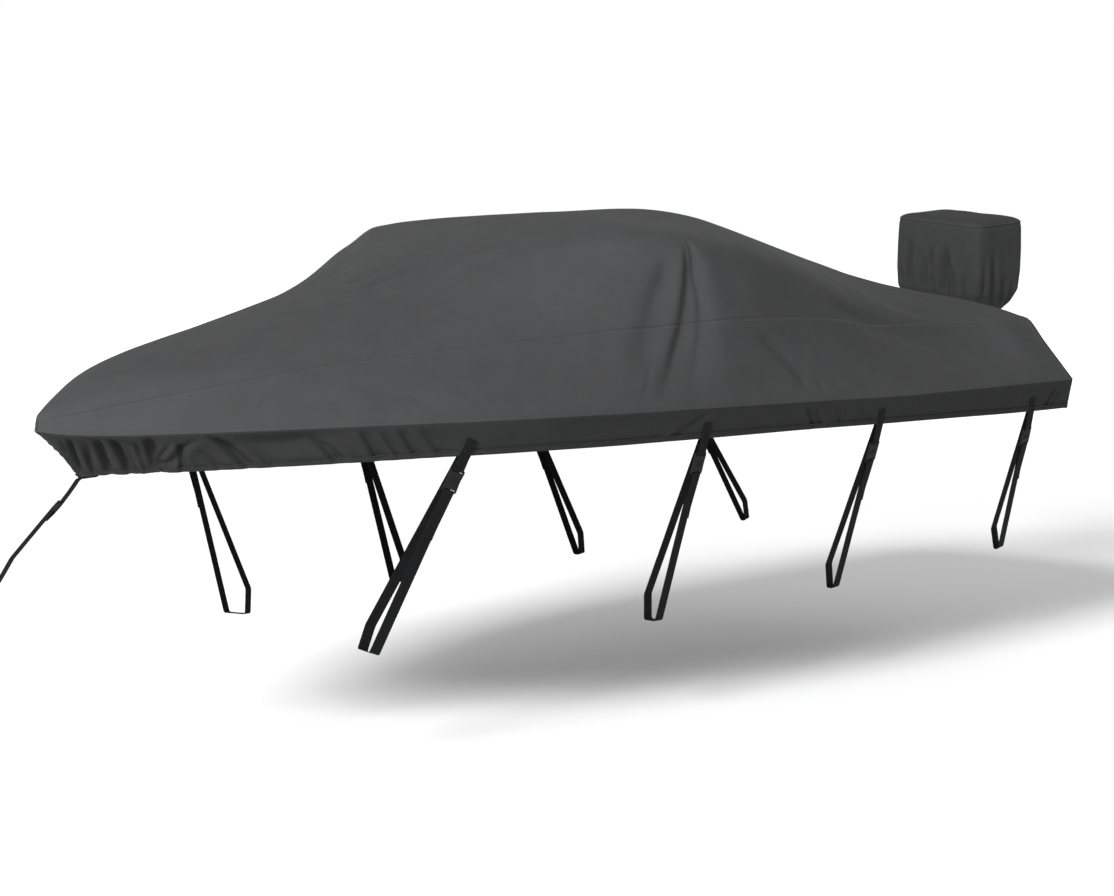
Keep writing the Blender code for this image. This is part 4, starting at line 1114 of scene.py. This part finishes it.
def add_strap(skirt, stitches, name, side, x, foot_x, foot_y, foot_z, foot_wide, buckle_drop):
    """A sewn tab, its buckle and the webbing drawn round its foot, worked out on the port side.

    Adds the tab's stitches to those given, and returns where the buckle is.
    """
    mirror = np.array([1, -side, 1])
    ends = [skirt_line(skirt, x + step, (1, 0, 0), np.median)[0] for step in (-WEBBING, WEBBING)]
    tangent = unit(ends[1] - ends[0])
    outside = skirt_line(skirt, x, tangent, np.min)
    inside = skirt_line(skirt, x, tangent, np.max)
    hem = outside[0]
    foot = np.array([foot_x, -foot_y, foot_z])
    down = unit(foot - hem)
    across = unit(tangent - (tangent @ down) * down)
    out = np.cross(down, across)

    def place(s, d):
        """s down from the hem, d outwards."""
        return hem + down * s + out * d

    def on_skirt(face, distance, offset):
        """A point on the skirt's face that far above the hem, and off it outwards."""
        rise = run_along(face)
        low = min(np.searchsorted(rise, distance, side="right") - 1, len(face) - 2)
        upward = unit(face[low + 1] - face[low])
        skirt_out = unit(np.cross(tangent, upward))
        lean = unit(skirt_out * (down @ skirt_out) - down) - upward
        return face[low] + upward * (distance - rise[low]) + lean * distance + skirt_out * offset

    middle, beyond, beside = bar_places(BUCKLE_SIZE)
    near = WEBBING_THICK / 2 + SKIN
    lap = WEBBING_THICK + LAP_GAP
    buckle_d = near - beside + BUCKLE_STAND
    top_bar, low_bar = buckle_drop - middle, buckle_drop + middle

    tab = [
        on_skirt(outside, TAB_ABOVE_HEM, near),
        on_skirt(outside, TAB_ABOVE_HEM * 0.6, near),
        on_skirt(outside, TAB_ABOVE_HEM * 0.25, near),
        place(0.004, near + SKIN),
        place(top_bar - beyond * 2, buckle_d + beside),
        place(top_bar + beyond, buckle_d + beside),
        place(top_bar + beyond, buckle_d - beside),
        place(top_bar - beyond * 2, buckle_d - beside),
        place(TAB_BACK, near - lap),
    ]
    bends = (SOFT_BEND, SOFT_BEND, SOFT_BEND, SOFT_BEND / 2, BAR_BEND, BAR_BEND, SOFT_BEND / 2)
    line = rounded(tab, bends)
    add_webbing(f"tie_tab_{name}", line * mirror, across * mirror, WEBBING, f"tab_{name}")

    def foot_corner(inboard, above):
        corner = foot + unit(np.array([-across[1], across[0], 0])) * inboard + (0, 0, above) - hem
        return corner @ down, corner @ out

    length = np.linalg.norm(foot - hem)
    tail_end = low_bar + TAIL
    run_there = (buckle_d - beside) * (1 - (tail_end - low_bar) / (length - low_bar))
    behind = HEM_ROLL * 2 + CLOTH + near
    strap = [
        on_skirt(inside, SEWN_INSIDE, -behind),
        on_skirt(inside, 0.0, -behind),
        place(*foot_corner(foot_wide, FOOT_TALL)),
        place(*foot_corner(foot_wide, 0)),
        place(length, 0),
        place(low_bar + beyond * 2, buckle_d - beside),
        place(low_bar - beyond, buckle_d - beside),
        place(low_bar - beyond, buckle_d + beside),
        place(low_bar + beyond * 2, buckle_d + beside),
        place(tail_end - 0.05, run_there + lap * 1.3),
        place(tail_end, run_there + lap * 2.2),
    ]
    bends = (SOFT_BEND, FOOT_BEND, FOOT_BEND, FOOT_BEND, SOFT_BEND / 2, BAR_BEND, BAR_BEND, SOFT_BEND / 2,
             SOFT_BEND * 2)
    add_webbing(f"tie_strap_{name}", rounded(strap, bends) * mirror, across * mirror, WEBBING, f"strap_{name}")
    centre = place(buckle_drop, buckle_d)
    add_buckle(f"tie_buckle_{name}", BUCKLE_SIZE, centre * mirror, across * mirror, down * mirror,
               out * mirror, f"buckle_{name}")

    upper, lower = on_skirt(outside, TAB_ABOVE_HEM - 0.007, 0), on_skirt(outside, 0.018, 0)
    face_out = unit(np.cross(tangent, unit(upper - lower)))
    lift = face_out * (near + WEBBING_THICK / 2 + 0.0002)
    half = across * (WEBBING / 2 - 0.006)
    corners = [upper - half + lift, upper + half + lift, lower + half + lift, lower - half + lift]
    box = [corners[k] for k in (0, 1, 2, 3, 0, 2)] + [corners[1], corners[3]]
    stitches.add(np.array(box) * mirror, face_out * mirror)
    return centre * mirror, across * mirror, down * mirror, out * mirror, BUCKLE_SIZE


def add_bow_strap():
    """The bow strap passes its buckle in two lengths, the lower one with a short free end.

    Returns where the buckle is.
    """
    line = [np.array((x, 0, z)) for x, z in BOW_STRAP_LINE]
    across = np.array([0, 1.0, 0])
    before, after = line[3], line[4]
    down = unit(after - before)
    out = np.cross(down, across)
    middle, beyond, beside = bar_places(BOW_BUCKLE_SIZE)
    lap = WEBBING_THICK + LAP_GAP
    buckle = before + down * BOW_BUCKLE_FROM_BEND

    def place(s, d):
        return buckle + down * s + out * d

    upper = line[:4] + [
        place(-middle - beyond * 2, beside),
        place(-middle + beyond, beside),
        place(-middle + beyond, -beside),
        place(-middle - beyond * 3, -beside),
    ]
    bends = (SOFT_BEND, SOFT_BEND, SOFT_BEND, SOFT_BEND / 2, BAR_BEND, BAR_BEND)
    add_webbing("tie_tab_bow", rounded(upper, bends), across, BOW_WEBBING, "tab_bow")
    lower = [
        place(middle + BOW_TAIL, -beside + 2 * lap),
        place(middle + beyond * 2, beside),
        place(middle - beyond, beside),
        place(middle - beyond, -beside),
        place(middle + beyond * 2, -beside),
    ] + line[4:]
    bends = (SOFT_BEND / 2, BAR_BEND, BAR_BEND, SOFT_BEND / 2, SOFT_BEND, SOFT_BEND)
    add_webbing("tie_strap_bow", rounded(lower, bends), across, BOW_WEBBING, "strap_bow")
    add_buckle("tie_buckle_bow", BOW_BUCKLE_SIZE, buckle, across, down, out, "buckle_bow")
    return buckle, across, down, out, BOW_BUCKLE_SIZE


# ---- repeated details ----


def node_tree(name, inputs):
    """A Geometry Nodes tree with named inputs and a helper that adds nodes to it."""
    tree = bpy.data.node_groups.new(name, "GeometryNodeTree")
    tree.interface.new_socket("Geometry", in_out="INPUT", socket_type="NodeSocketGeometry")
    tree.interface.new_socket("Geometry", in_out="OUTPUT", socket_type="NodeSocketGeometry")
    for label, kind in inputs:
        tree.interface.new_socket(label, in_out="INPUT", socket_type=kind)

    def add(kind, sources=(), **values):
        node = tree.nodes.new(kind)
        for key, value in values.items():
            setattr(node, key, value)
        for socket, source in dict(sources).items():
            if isinstance(source, bpy.types.NodeSocket):
                tree.links.new(source, node.inputs[socket])
            else:
                node.inputs[socket].default_value = source
        return node

    return tree, add, add("NodeGroupInput").outputs


def repeated(name, points, edges, attributes, tree, values):
    """Points or lines turned by a node tree into one plain mesh that rides on the cover's body."""
    mesh = bpy.data.meshes.new(name)
    mesh.from_pydata([tuple(np.asarray(p) - HANG_POINT) for p in points], edges, [])
    for label, kind, rows in attributes:
        layer = mesh.attributes.new(label, kind, "POINT")
        layer.data.foreach_set("vector" if kind == "FLOAT_VECTOR" else "value", np.asarray(rows, float).ravel())
    obj = bpy.data.objects.new(name, mesh)
    bpy.context.scene.collection.objects.link(obj)
    modifier = obj.modifiers.new(tree.name, "NODES")
    modifier.node_group = tree
    for item in tree.interface.items_tree:
        if item.in_out == "INPUT" and item.name in values:
            modifier[item.identifier] = values[item.name]
    bpy.context.view_layer.update()
    graph = bpy.context.evaluated_depsgraph_get()
    made = bpy.data.meshes.new_from_object(obj.evaluated_get(graph))
    obj.modifiers.clear()
    obj.data = made
    made.name = name
    if not made.polygons:
        raise RuntimeError(f"{name} came out empty")
    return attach(obj, BODY)


def facing_rotation(add, along, out):
    """Nodes that turn X along one direction and Z out of the surface."""
    first = add("FunctionNodeAlignRotationToVector", {"Vector": along}, axis="X")
    second = add("FunctionNodeAlignRotationToVector", {"Rotation": first.outputs[0], "Vector": out},
                 axis="Z", pivot_axis="X")
    return second.outputs[0]


def named(add, name, kind="FLOAT_VECTOR"):
    """The socket of an attribute that the points carry."""
    return add("GeometryNodeInputNamedAttribute", {"Name": name}, data_type=kind).outputs["Attribute"]


def finish_tree(add, given, laid):
    """The tree's end: its copies made real, in the given finish."""
    real = add("GeometryNodeRealizeInstances", {"Geometry": laid.outputs[0]})
    coloured = add("GeometryNodeSetMaterial", {"Geometry": real.outputs[0], "Material": given["Material"]})
    add("NodeGroupOutput", {"Geometry": coloured.outputs[0]})


def stitch_tree():
    """Thread stitches laid end to end along each line, lying flat on the cloth."""
    tree, add, given = node_tree("stitch_lines", (
        ("Pitch", "NodeSocketFloat"), ("Length", "NodeSocketFloat"), ("Thread", "NodeSocketFloat"),
        ("Material", "NodeSocketMaterial")))
    out = named(add, "out")
    curve = add("GeometryNodeMeshToCurve", {"Mesh": given["Geometry"]})
    places = add("GeometryNodeCurveToPoints", {"Curve": curve.outputs[0], "Length": given["Pitch"]}, mode="LENGTH")
    ball = add("GeometryNodeMeshUVSphere", {"Segments": 5, "Rings": 3, "Radius": 0.5})
    sizes = add("ShaderNodeCombineXYZ", {"X": given["Length"], "Y": given["Thread"], "Z": given["Thread"]})
    stitch = add("GeometryNodeTransform", {"Geometry": ball.outputs["Mesh"], "Scale": sizes.outputs[0]})
    turned = facing_rotation(add, places.outputs["Tangent"], out)
    laid = add("GeometryNodeInstanceOnPoints", {
        "Points": places.outputs["Points"], "Instance": stitch.outputs[0], "Rotation": turned})
    finish_tree(add, given, laid)
    return tree


def grip_tree():
    """A rounded rib at each point, lying across the face of a buckle."""
    tree, add, given = node_tree("grip_ribs", (("Rib", "NodeSocketFloat"), ("Material", "NodeSocketMaterial")))
    across, out, length = named(add, "across"), named(add, "out"), named(add, "length", "FLOAT")
    rib = add("GeometryNodeMeshCylinder", {"Vertices": 8, "Radius": 0.5, "Depth": 1.0})
    lying = add("GeometryNodeTransform", {"Geometry": rib.outputs["Mesh"], "Rotation": (0, math.pi / 2, 0)})
    sizes = add("ShaderNodeCombineXYZ", {"X": length, "Y": given["Rib"], "Z": given["Rib"]})
    laid = add("GeometryNodeInstanceOnPoints", {
        "Points": given["Geometry"], "Instance": lying.outputs[0], "Scale": sizes.outputs[0],
        "Rotation": facing_rotation(add, across, out)})
    finish_tree(add, given, laid)
    return tree


def add_stitches(name, stitches, share=1.0, thread=None):
    """All of these stitches as one piece; share makes them shorter and closer."""
    settings = bpy.context.scene.boat_stitches
    tree = bpy.data.node_groups.get("stitch_lines") or stitch_tree()
    values = {"Pitch": settings.pitch * share, "Length": settings.length * share, "Thread": settings.thread,
              "Material": thread or thread_finish()}
    made = repeated(name, stitches.points, stitches.edges, [("out", "FLOAT_VECTOR", stitches.outs)], tree,
                    values)
    made.data.shade_smooth()
    return made


# ---- operators ----


class BOATCOVER_OT_upper_cloth(bpy.types.Operator):
    """Make the upper cloth: the long middle panel, the side panels and the stern cloth"""

    bl_idname = "boat_cover.upper_cloth"
    bl_label = "Upper Cloth"

    def execute(self, context):
        grid, port_seam, starboard_seam = cover_grid()
        top = grid[:, port_seam:starboard_seam + 1]
        port = lapped(turned_edge(grid[:, :port_seam + 1]))
        starboard = lapped(turned_edge(grid[:, starboard_seam:][:, ::-1]))
        stern = turned_hem(stern_grid(grid).swapaxes(0, 1))
        add_cloth("top_cloth", top, "top_panel")
        add_cloth("port_cloth", port, "port_panel")
        add_cloth("starboard_cloth", starboard, "starboard_panel", reverse=True)
        add_cloth("stern_cloth", stern, "transom_panel", reverse=True)

        stitches = Stitches()
        for panel in (port[:, ::-1], starboard[:, ::-1]):
            for distance in SEAM_STITCH_ROWS:
                stitches.follow(*line_on(panel, distance))
        # The light thread of these seams also paints a highlight along them.
        add_stitches("cover_stitches", stitches)

        stitches = Stitches()
        for panel in (port, starboard):
            stitches.follow(*line_on(panel, EDGE_STITCH_ROW))
        hem = stern_grid(grid)
        rise = hem[:, :, 2] - hem[-1, 0, 2]
        row = int(np.argmin(np.abs(rise[:, rise.shape[1] // 2] - HEM_CASING)))
        stitches.add(hem[row] + (0.0006, 0, 0), (1, 0, 0))
        add_stitches("edge_stitches", stitches, thread=dark_thread())
        return {"FINISHED"}


class BOATCOVER_OT_skirts(bpy.types.Operator):
    """Make both skirts with their gathers and drawstring hems"""

    bl_idname = "boat_cover.skirts"
    bl_label = "Skirts"

    def execute(self, context):
        skirt = skirt_grid()
        port = turned_hem(skirt)
        starboard = port * (1, -1, 1)
        # The skirts take a darker copy of the cloth: painted shade for the cloth hanging under the gunwale.
        finish = cloth_finish("skirt_polyester_painted_shade", context.scene.boat_cloth.skirt_painted_shade)
        made = add_cloth("port_skirt_cloth", port, "port_skirt", reverse=True, finish=finish)
        made = add_cloth("starboard_skirt_cloth", starboard, "starboard_skirt", finish=finish)

        stitches = Stitches()
        out = -facings(skirt)
        rise = np.linalg.norm(skirt - skirt[:, -1:], axis=2)
        for height in HEM_STITCH_ROWS:
            row = np.argmin(np.abs(rise - height), axis=1)
            index = np.arange(len(skirt))
            places, ways = skirt[index, row], out[index, row]
            share = np.clip((height - rise[index, row]) / 0.01, -1, 1)[:, None]
            places = places + unit(skirt[index, row - 1] - places) * share * 0.01 + ways * STITCH_LIFT
            for mirror in ((1, 1, 1), (1, -1, 1)):
                stitches.add(places[UNSEWN_CUTS:] * mirror, ways[UNSEWN_CUTS:] * mirror)
        add_stitches("hem_stitches", stitches, thread=dark_thread())
        return {"FINISHED"}


class BOATCOVER_OT_hood(bpy.types.Operator):
    """Make the loose hood of the outboard motor"""

    bl_idname = "boat_cover.hood"
    bl_label = "Motor Hood"

    def execute(self, context):
        side = hood_side_grid()
        finish = cloth_finish("hood_polyester", context.scene.boat_cloth.hood_tone)
        band = add_cloth("hood_side_cloth", side, "hood_band", reverse=True, finish=finish, closed=True)

        rings = hood_top_grid()
        faces = grid_faces(rings.shape[0], HOOD_SIDES, reverse=True, closed=True)
        last = (rings.shape[0] - 1) * HOOD_SIDES
        faces.append(tuple(range(last, last + HOOD_SIDES)))
        flat = (rings - HANG_POINT).reshape(-1, 3)
        top = add_piece("hood_top_cloth", flat, faces, finish, flat[:, :2])
        thicken(top)
        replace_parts(top, "hood_top")

        stitches = Stitches()
        middle = np.array(HOOD_AT) + (0, 0, 0.3)
        for grid, row in ((side, HOOD_ROWS - 2), (side, 4), (rings, 4)):
            outs = unit((grid[row] - middle) * ((1, 1, 0) if grid is side else (0.1, 0.1, 1)))
            stitches.add(grid[row] + outs * 0.0005, outs, closed=True)
        # The light thread here also paints the highlight along the hood's top edges.
        add_stitches("hood_stitches", stitches)
        return {"FINISHED"}


class BOATCOVER_OT_tie_downs(bpy.types.Operator):
    """Make the sewn tabs, the straps and their buckles"""

    bl_idname = "boat_cover.tie_downs"
    bl_label = "Tie-Downs"

    def execute(self, context):
        skirt, stitches = skirt_grid(), Stitches()
        buckles = [add_strap(skirt, stitches, *row) for row in STRAPS] + [add_bow_strap()]
        black = thread_finish("strap_thread", tuple(context.scene.boat_straps.colour))
        add_stitches("tab_stitches", stitches, 0.62, black)

        count = context.scene.boat_straps.grips
        points, acrosses, outs, lengths = [], [], [], []
        for centre, across, down, out, (wide, thick, tall) in buckles:
            for share in np.linspace(-GRIP_REACH, GRIP_REACH, count):
                points.append(centre + down * share * tall + out * thick * 0.50)
                acrosses.append(across)
                outs.append(out)
                lengths.append(wide * GRIP_LENGTH)
        tree = grip_tree()
        values = {"Rib": GRIP_THICK, "Material": plastic_finish()}
        repeated("buckle_grips", points, [], [("across", "FLOAT_VECTOR", acrosses), ("out", "FLOAT_VECTOR", outs),
                                              ("length", "FLOAT", lengths)], tree, values)
        return {"FINISHED"}


def add_area_light(name, place, power):
    """A wide soft light turned to the middle of the cover."""
    light = bpy.data.lights.new(name, "AREA")
    light.shape = "RECTANGLE"
    light.size, light.size_y = LIGHT_SIZE
    light.energy = power
    obj = bpy.data.objects.new(name, light)
    obj.location = place
    obj.rotation_euler = (Vector(LIT_POINT) - Vector(place)).to_track_quat("-Z", "Y").to_euler()
    bpy.context.scene.collection.objects.link(obj)


class BOATCOVER_OT_stage(bpy.types.Operator):
    """Make the pale floor, the soft light, the white surround and the camera"""

    bl_idname = "boat_cover.stage"
    bl_label = "Stage"

    def execute(self, context):
        settings = context.scene.boat_stage
        finish, tree, shader, add = new_finish("pale_floor", tuple(settings.floor_colour), 0.9)
        places = add("ShaderNodeTexCoord").outputs
        worn = add("ShaderNodeTexNoise", {"Vector": places["Object"]}, scale=0.6, detail=3.0)
        pale = np.array(settings.floor_colour)
        tint_between(tree, shader, add, worn.outputs["Fac"], pale * 0.985, pale)
        middle = add("ShaderNodeVectorMath", {0: places["Object"]}, operation="LENGTH")
        far = add("ShaderNodeMapRange", {"Value": middle.outputs["Value"]}, interpolation_type="SMOOTHSTEP")
        for socket, value in FLOOR_GLOW.items():
            far.inputs[socket].default_value = value
        tree.links.new(far.outputs["Result"], shader.inputs["Emission Strength"])
        shader.inputs["Emission Color"].default_value = (1, 1, 1, 1)
        angles = np.linspace(0, 2 * math.pi, FLOOR_SIDES, endpoint=False)
        rim = [(FLOOR_RADIUS * math.cos(a), FLOOR_RADIUS * math.sin(a), -HANG_POINT[2]) for a in angles]
        mesh = bpy.data.meshes.new("pale_floor")
        mesh.from_pydata(rim, [], [tuple(range(FLOOR_SIDES))])
        mesh.materials.append(finish)
        floor = bpy.data.objects.new("pale_floor", mesh)
        context.scene.collection.objects.link(floor)

        world = bpy.data.worlds.new("white_surround")
        world.use_nodes = True
        nodes, links = world.node_tree.nodes, world.node_tree.links
        seen = nodes.new("ShaderNodeBackground")
        lit = nodes["Background"]
        rays, choice = nodes.new("ShaderNodeLightPath"), nodes.new("ShaderNodeMixShader")
        seen.inputs["Color"].default_value = lit.inputs["Color"].default_value = (1, 1, 1, 1)
        lit.inputs["Strength"].default_value = settings.surround
        links.new(rays.outputs["Is Camera Ray"], choice.inputs["Fac"])
        links.new(lit.outputs["Background"], choice.inputs[1])
        links.new(seen.outputs["Background"], choice.inputs[2])
        links.new(choice.outputs["Shader"], nodes["World Output"].inputs["Surface"])
        context.scene.world = world
        context.scene.view_settings.view_transform = "Standard"

        add_area_light("key_light", KEY_PLACE, settings.key_power)
        add_area_light("fill_light", FILL_PLACE, settings.fill_power)

        camera = bpy.data.cameras.new("camera")
        camera.sensor_width = SENSOR
        camera.lens = SENSOR * FOCAL_PIXELS / FRAME_PIXELS
        obj = bpy.data.objects.new("camera", camera)
        obj.location = Vector(CAMERA_PLACE) - Vector(HANG_POINT)
        obj.rotation_euler = (math.radians(90 - CAMERA_PITCH), 0, math.radians(CAMERA_TURN))
        context.scene.collection.objects.link(obj)
        context.scene.camera = obj
        return {"FINISHED"}


class BOATCOVER_PT_sidebar(bpy.types.Panel):
    """The cover's pieces and settings"""

    bl_idname = "BOATCOVER_PT_sidebar"
    bl_label = "Boat Cover"
    bl_space_type = "VIEW_3D"
    bl_region_type = "UI"
    bl_category = "Boat Cover"

    def draw(self, context):
        for pointer, operators in (
            ("boat_stage", ("stage",)),
            ("boat_cloth", ("upper_cloth", "skirts", "hood")),
            ("boat_stitches", ()),
            ("boat_straps", ("tie_downs",)),
        ):
            box = self.layout.box()
            settings = getattr(context.scene, pointer)
            for name in settings.bl_rna.properties.keys():
                if name not in ("rna_type", "name"):
                    box.prop(settings, name)
            for name in operators:
                box.operator(f"boat_cover.{name}")


SETTINGS = {
    "boat_cloth": ClothSettings, "boat_stitches": StitchSettings, "boat_straps": StrapSettings,
    "boat_stage": StageSettings,
}
CLASSES = (
    *SETTINGS.values(), BOATCOVER_OT_stage, BOATCOVER_OT_upper_cloth, BOATCOVER_OT_skirts, BOATCOVER_OT_hood,
    BOATCOVER_OT_tie_downs, BOATCOVER_PT_sidebar,
)


def register():
    for made in CLASSES:
        bpy.utils.register_class(made)
    for pointer, settings in SETTINGS.items():
        setattr(bpy.types.Scene, pointer, bpy.props.PointerProperty(type=settings))


def unregister():
    for pointer in SETTINGS:
        delattr(bpy.types.Scene, pointer)
    for made in reversed(CLASSES):
        bpy.utils.unregister_class(made)


def main():
    register()
    for name in ("stage", "upper_cloth", "skirts", "hood", "tie_downs"):
        getattr(bpy.ops.boat_cover, name)()


if __name__ == "__main__":
    main()
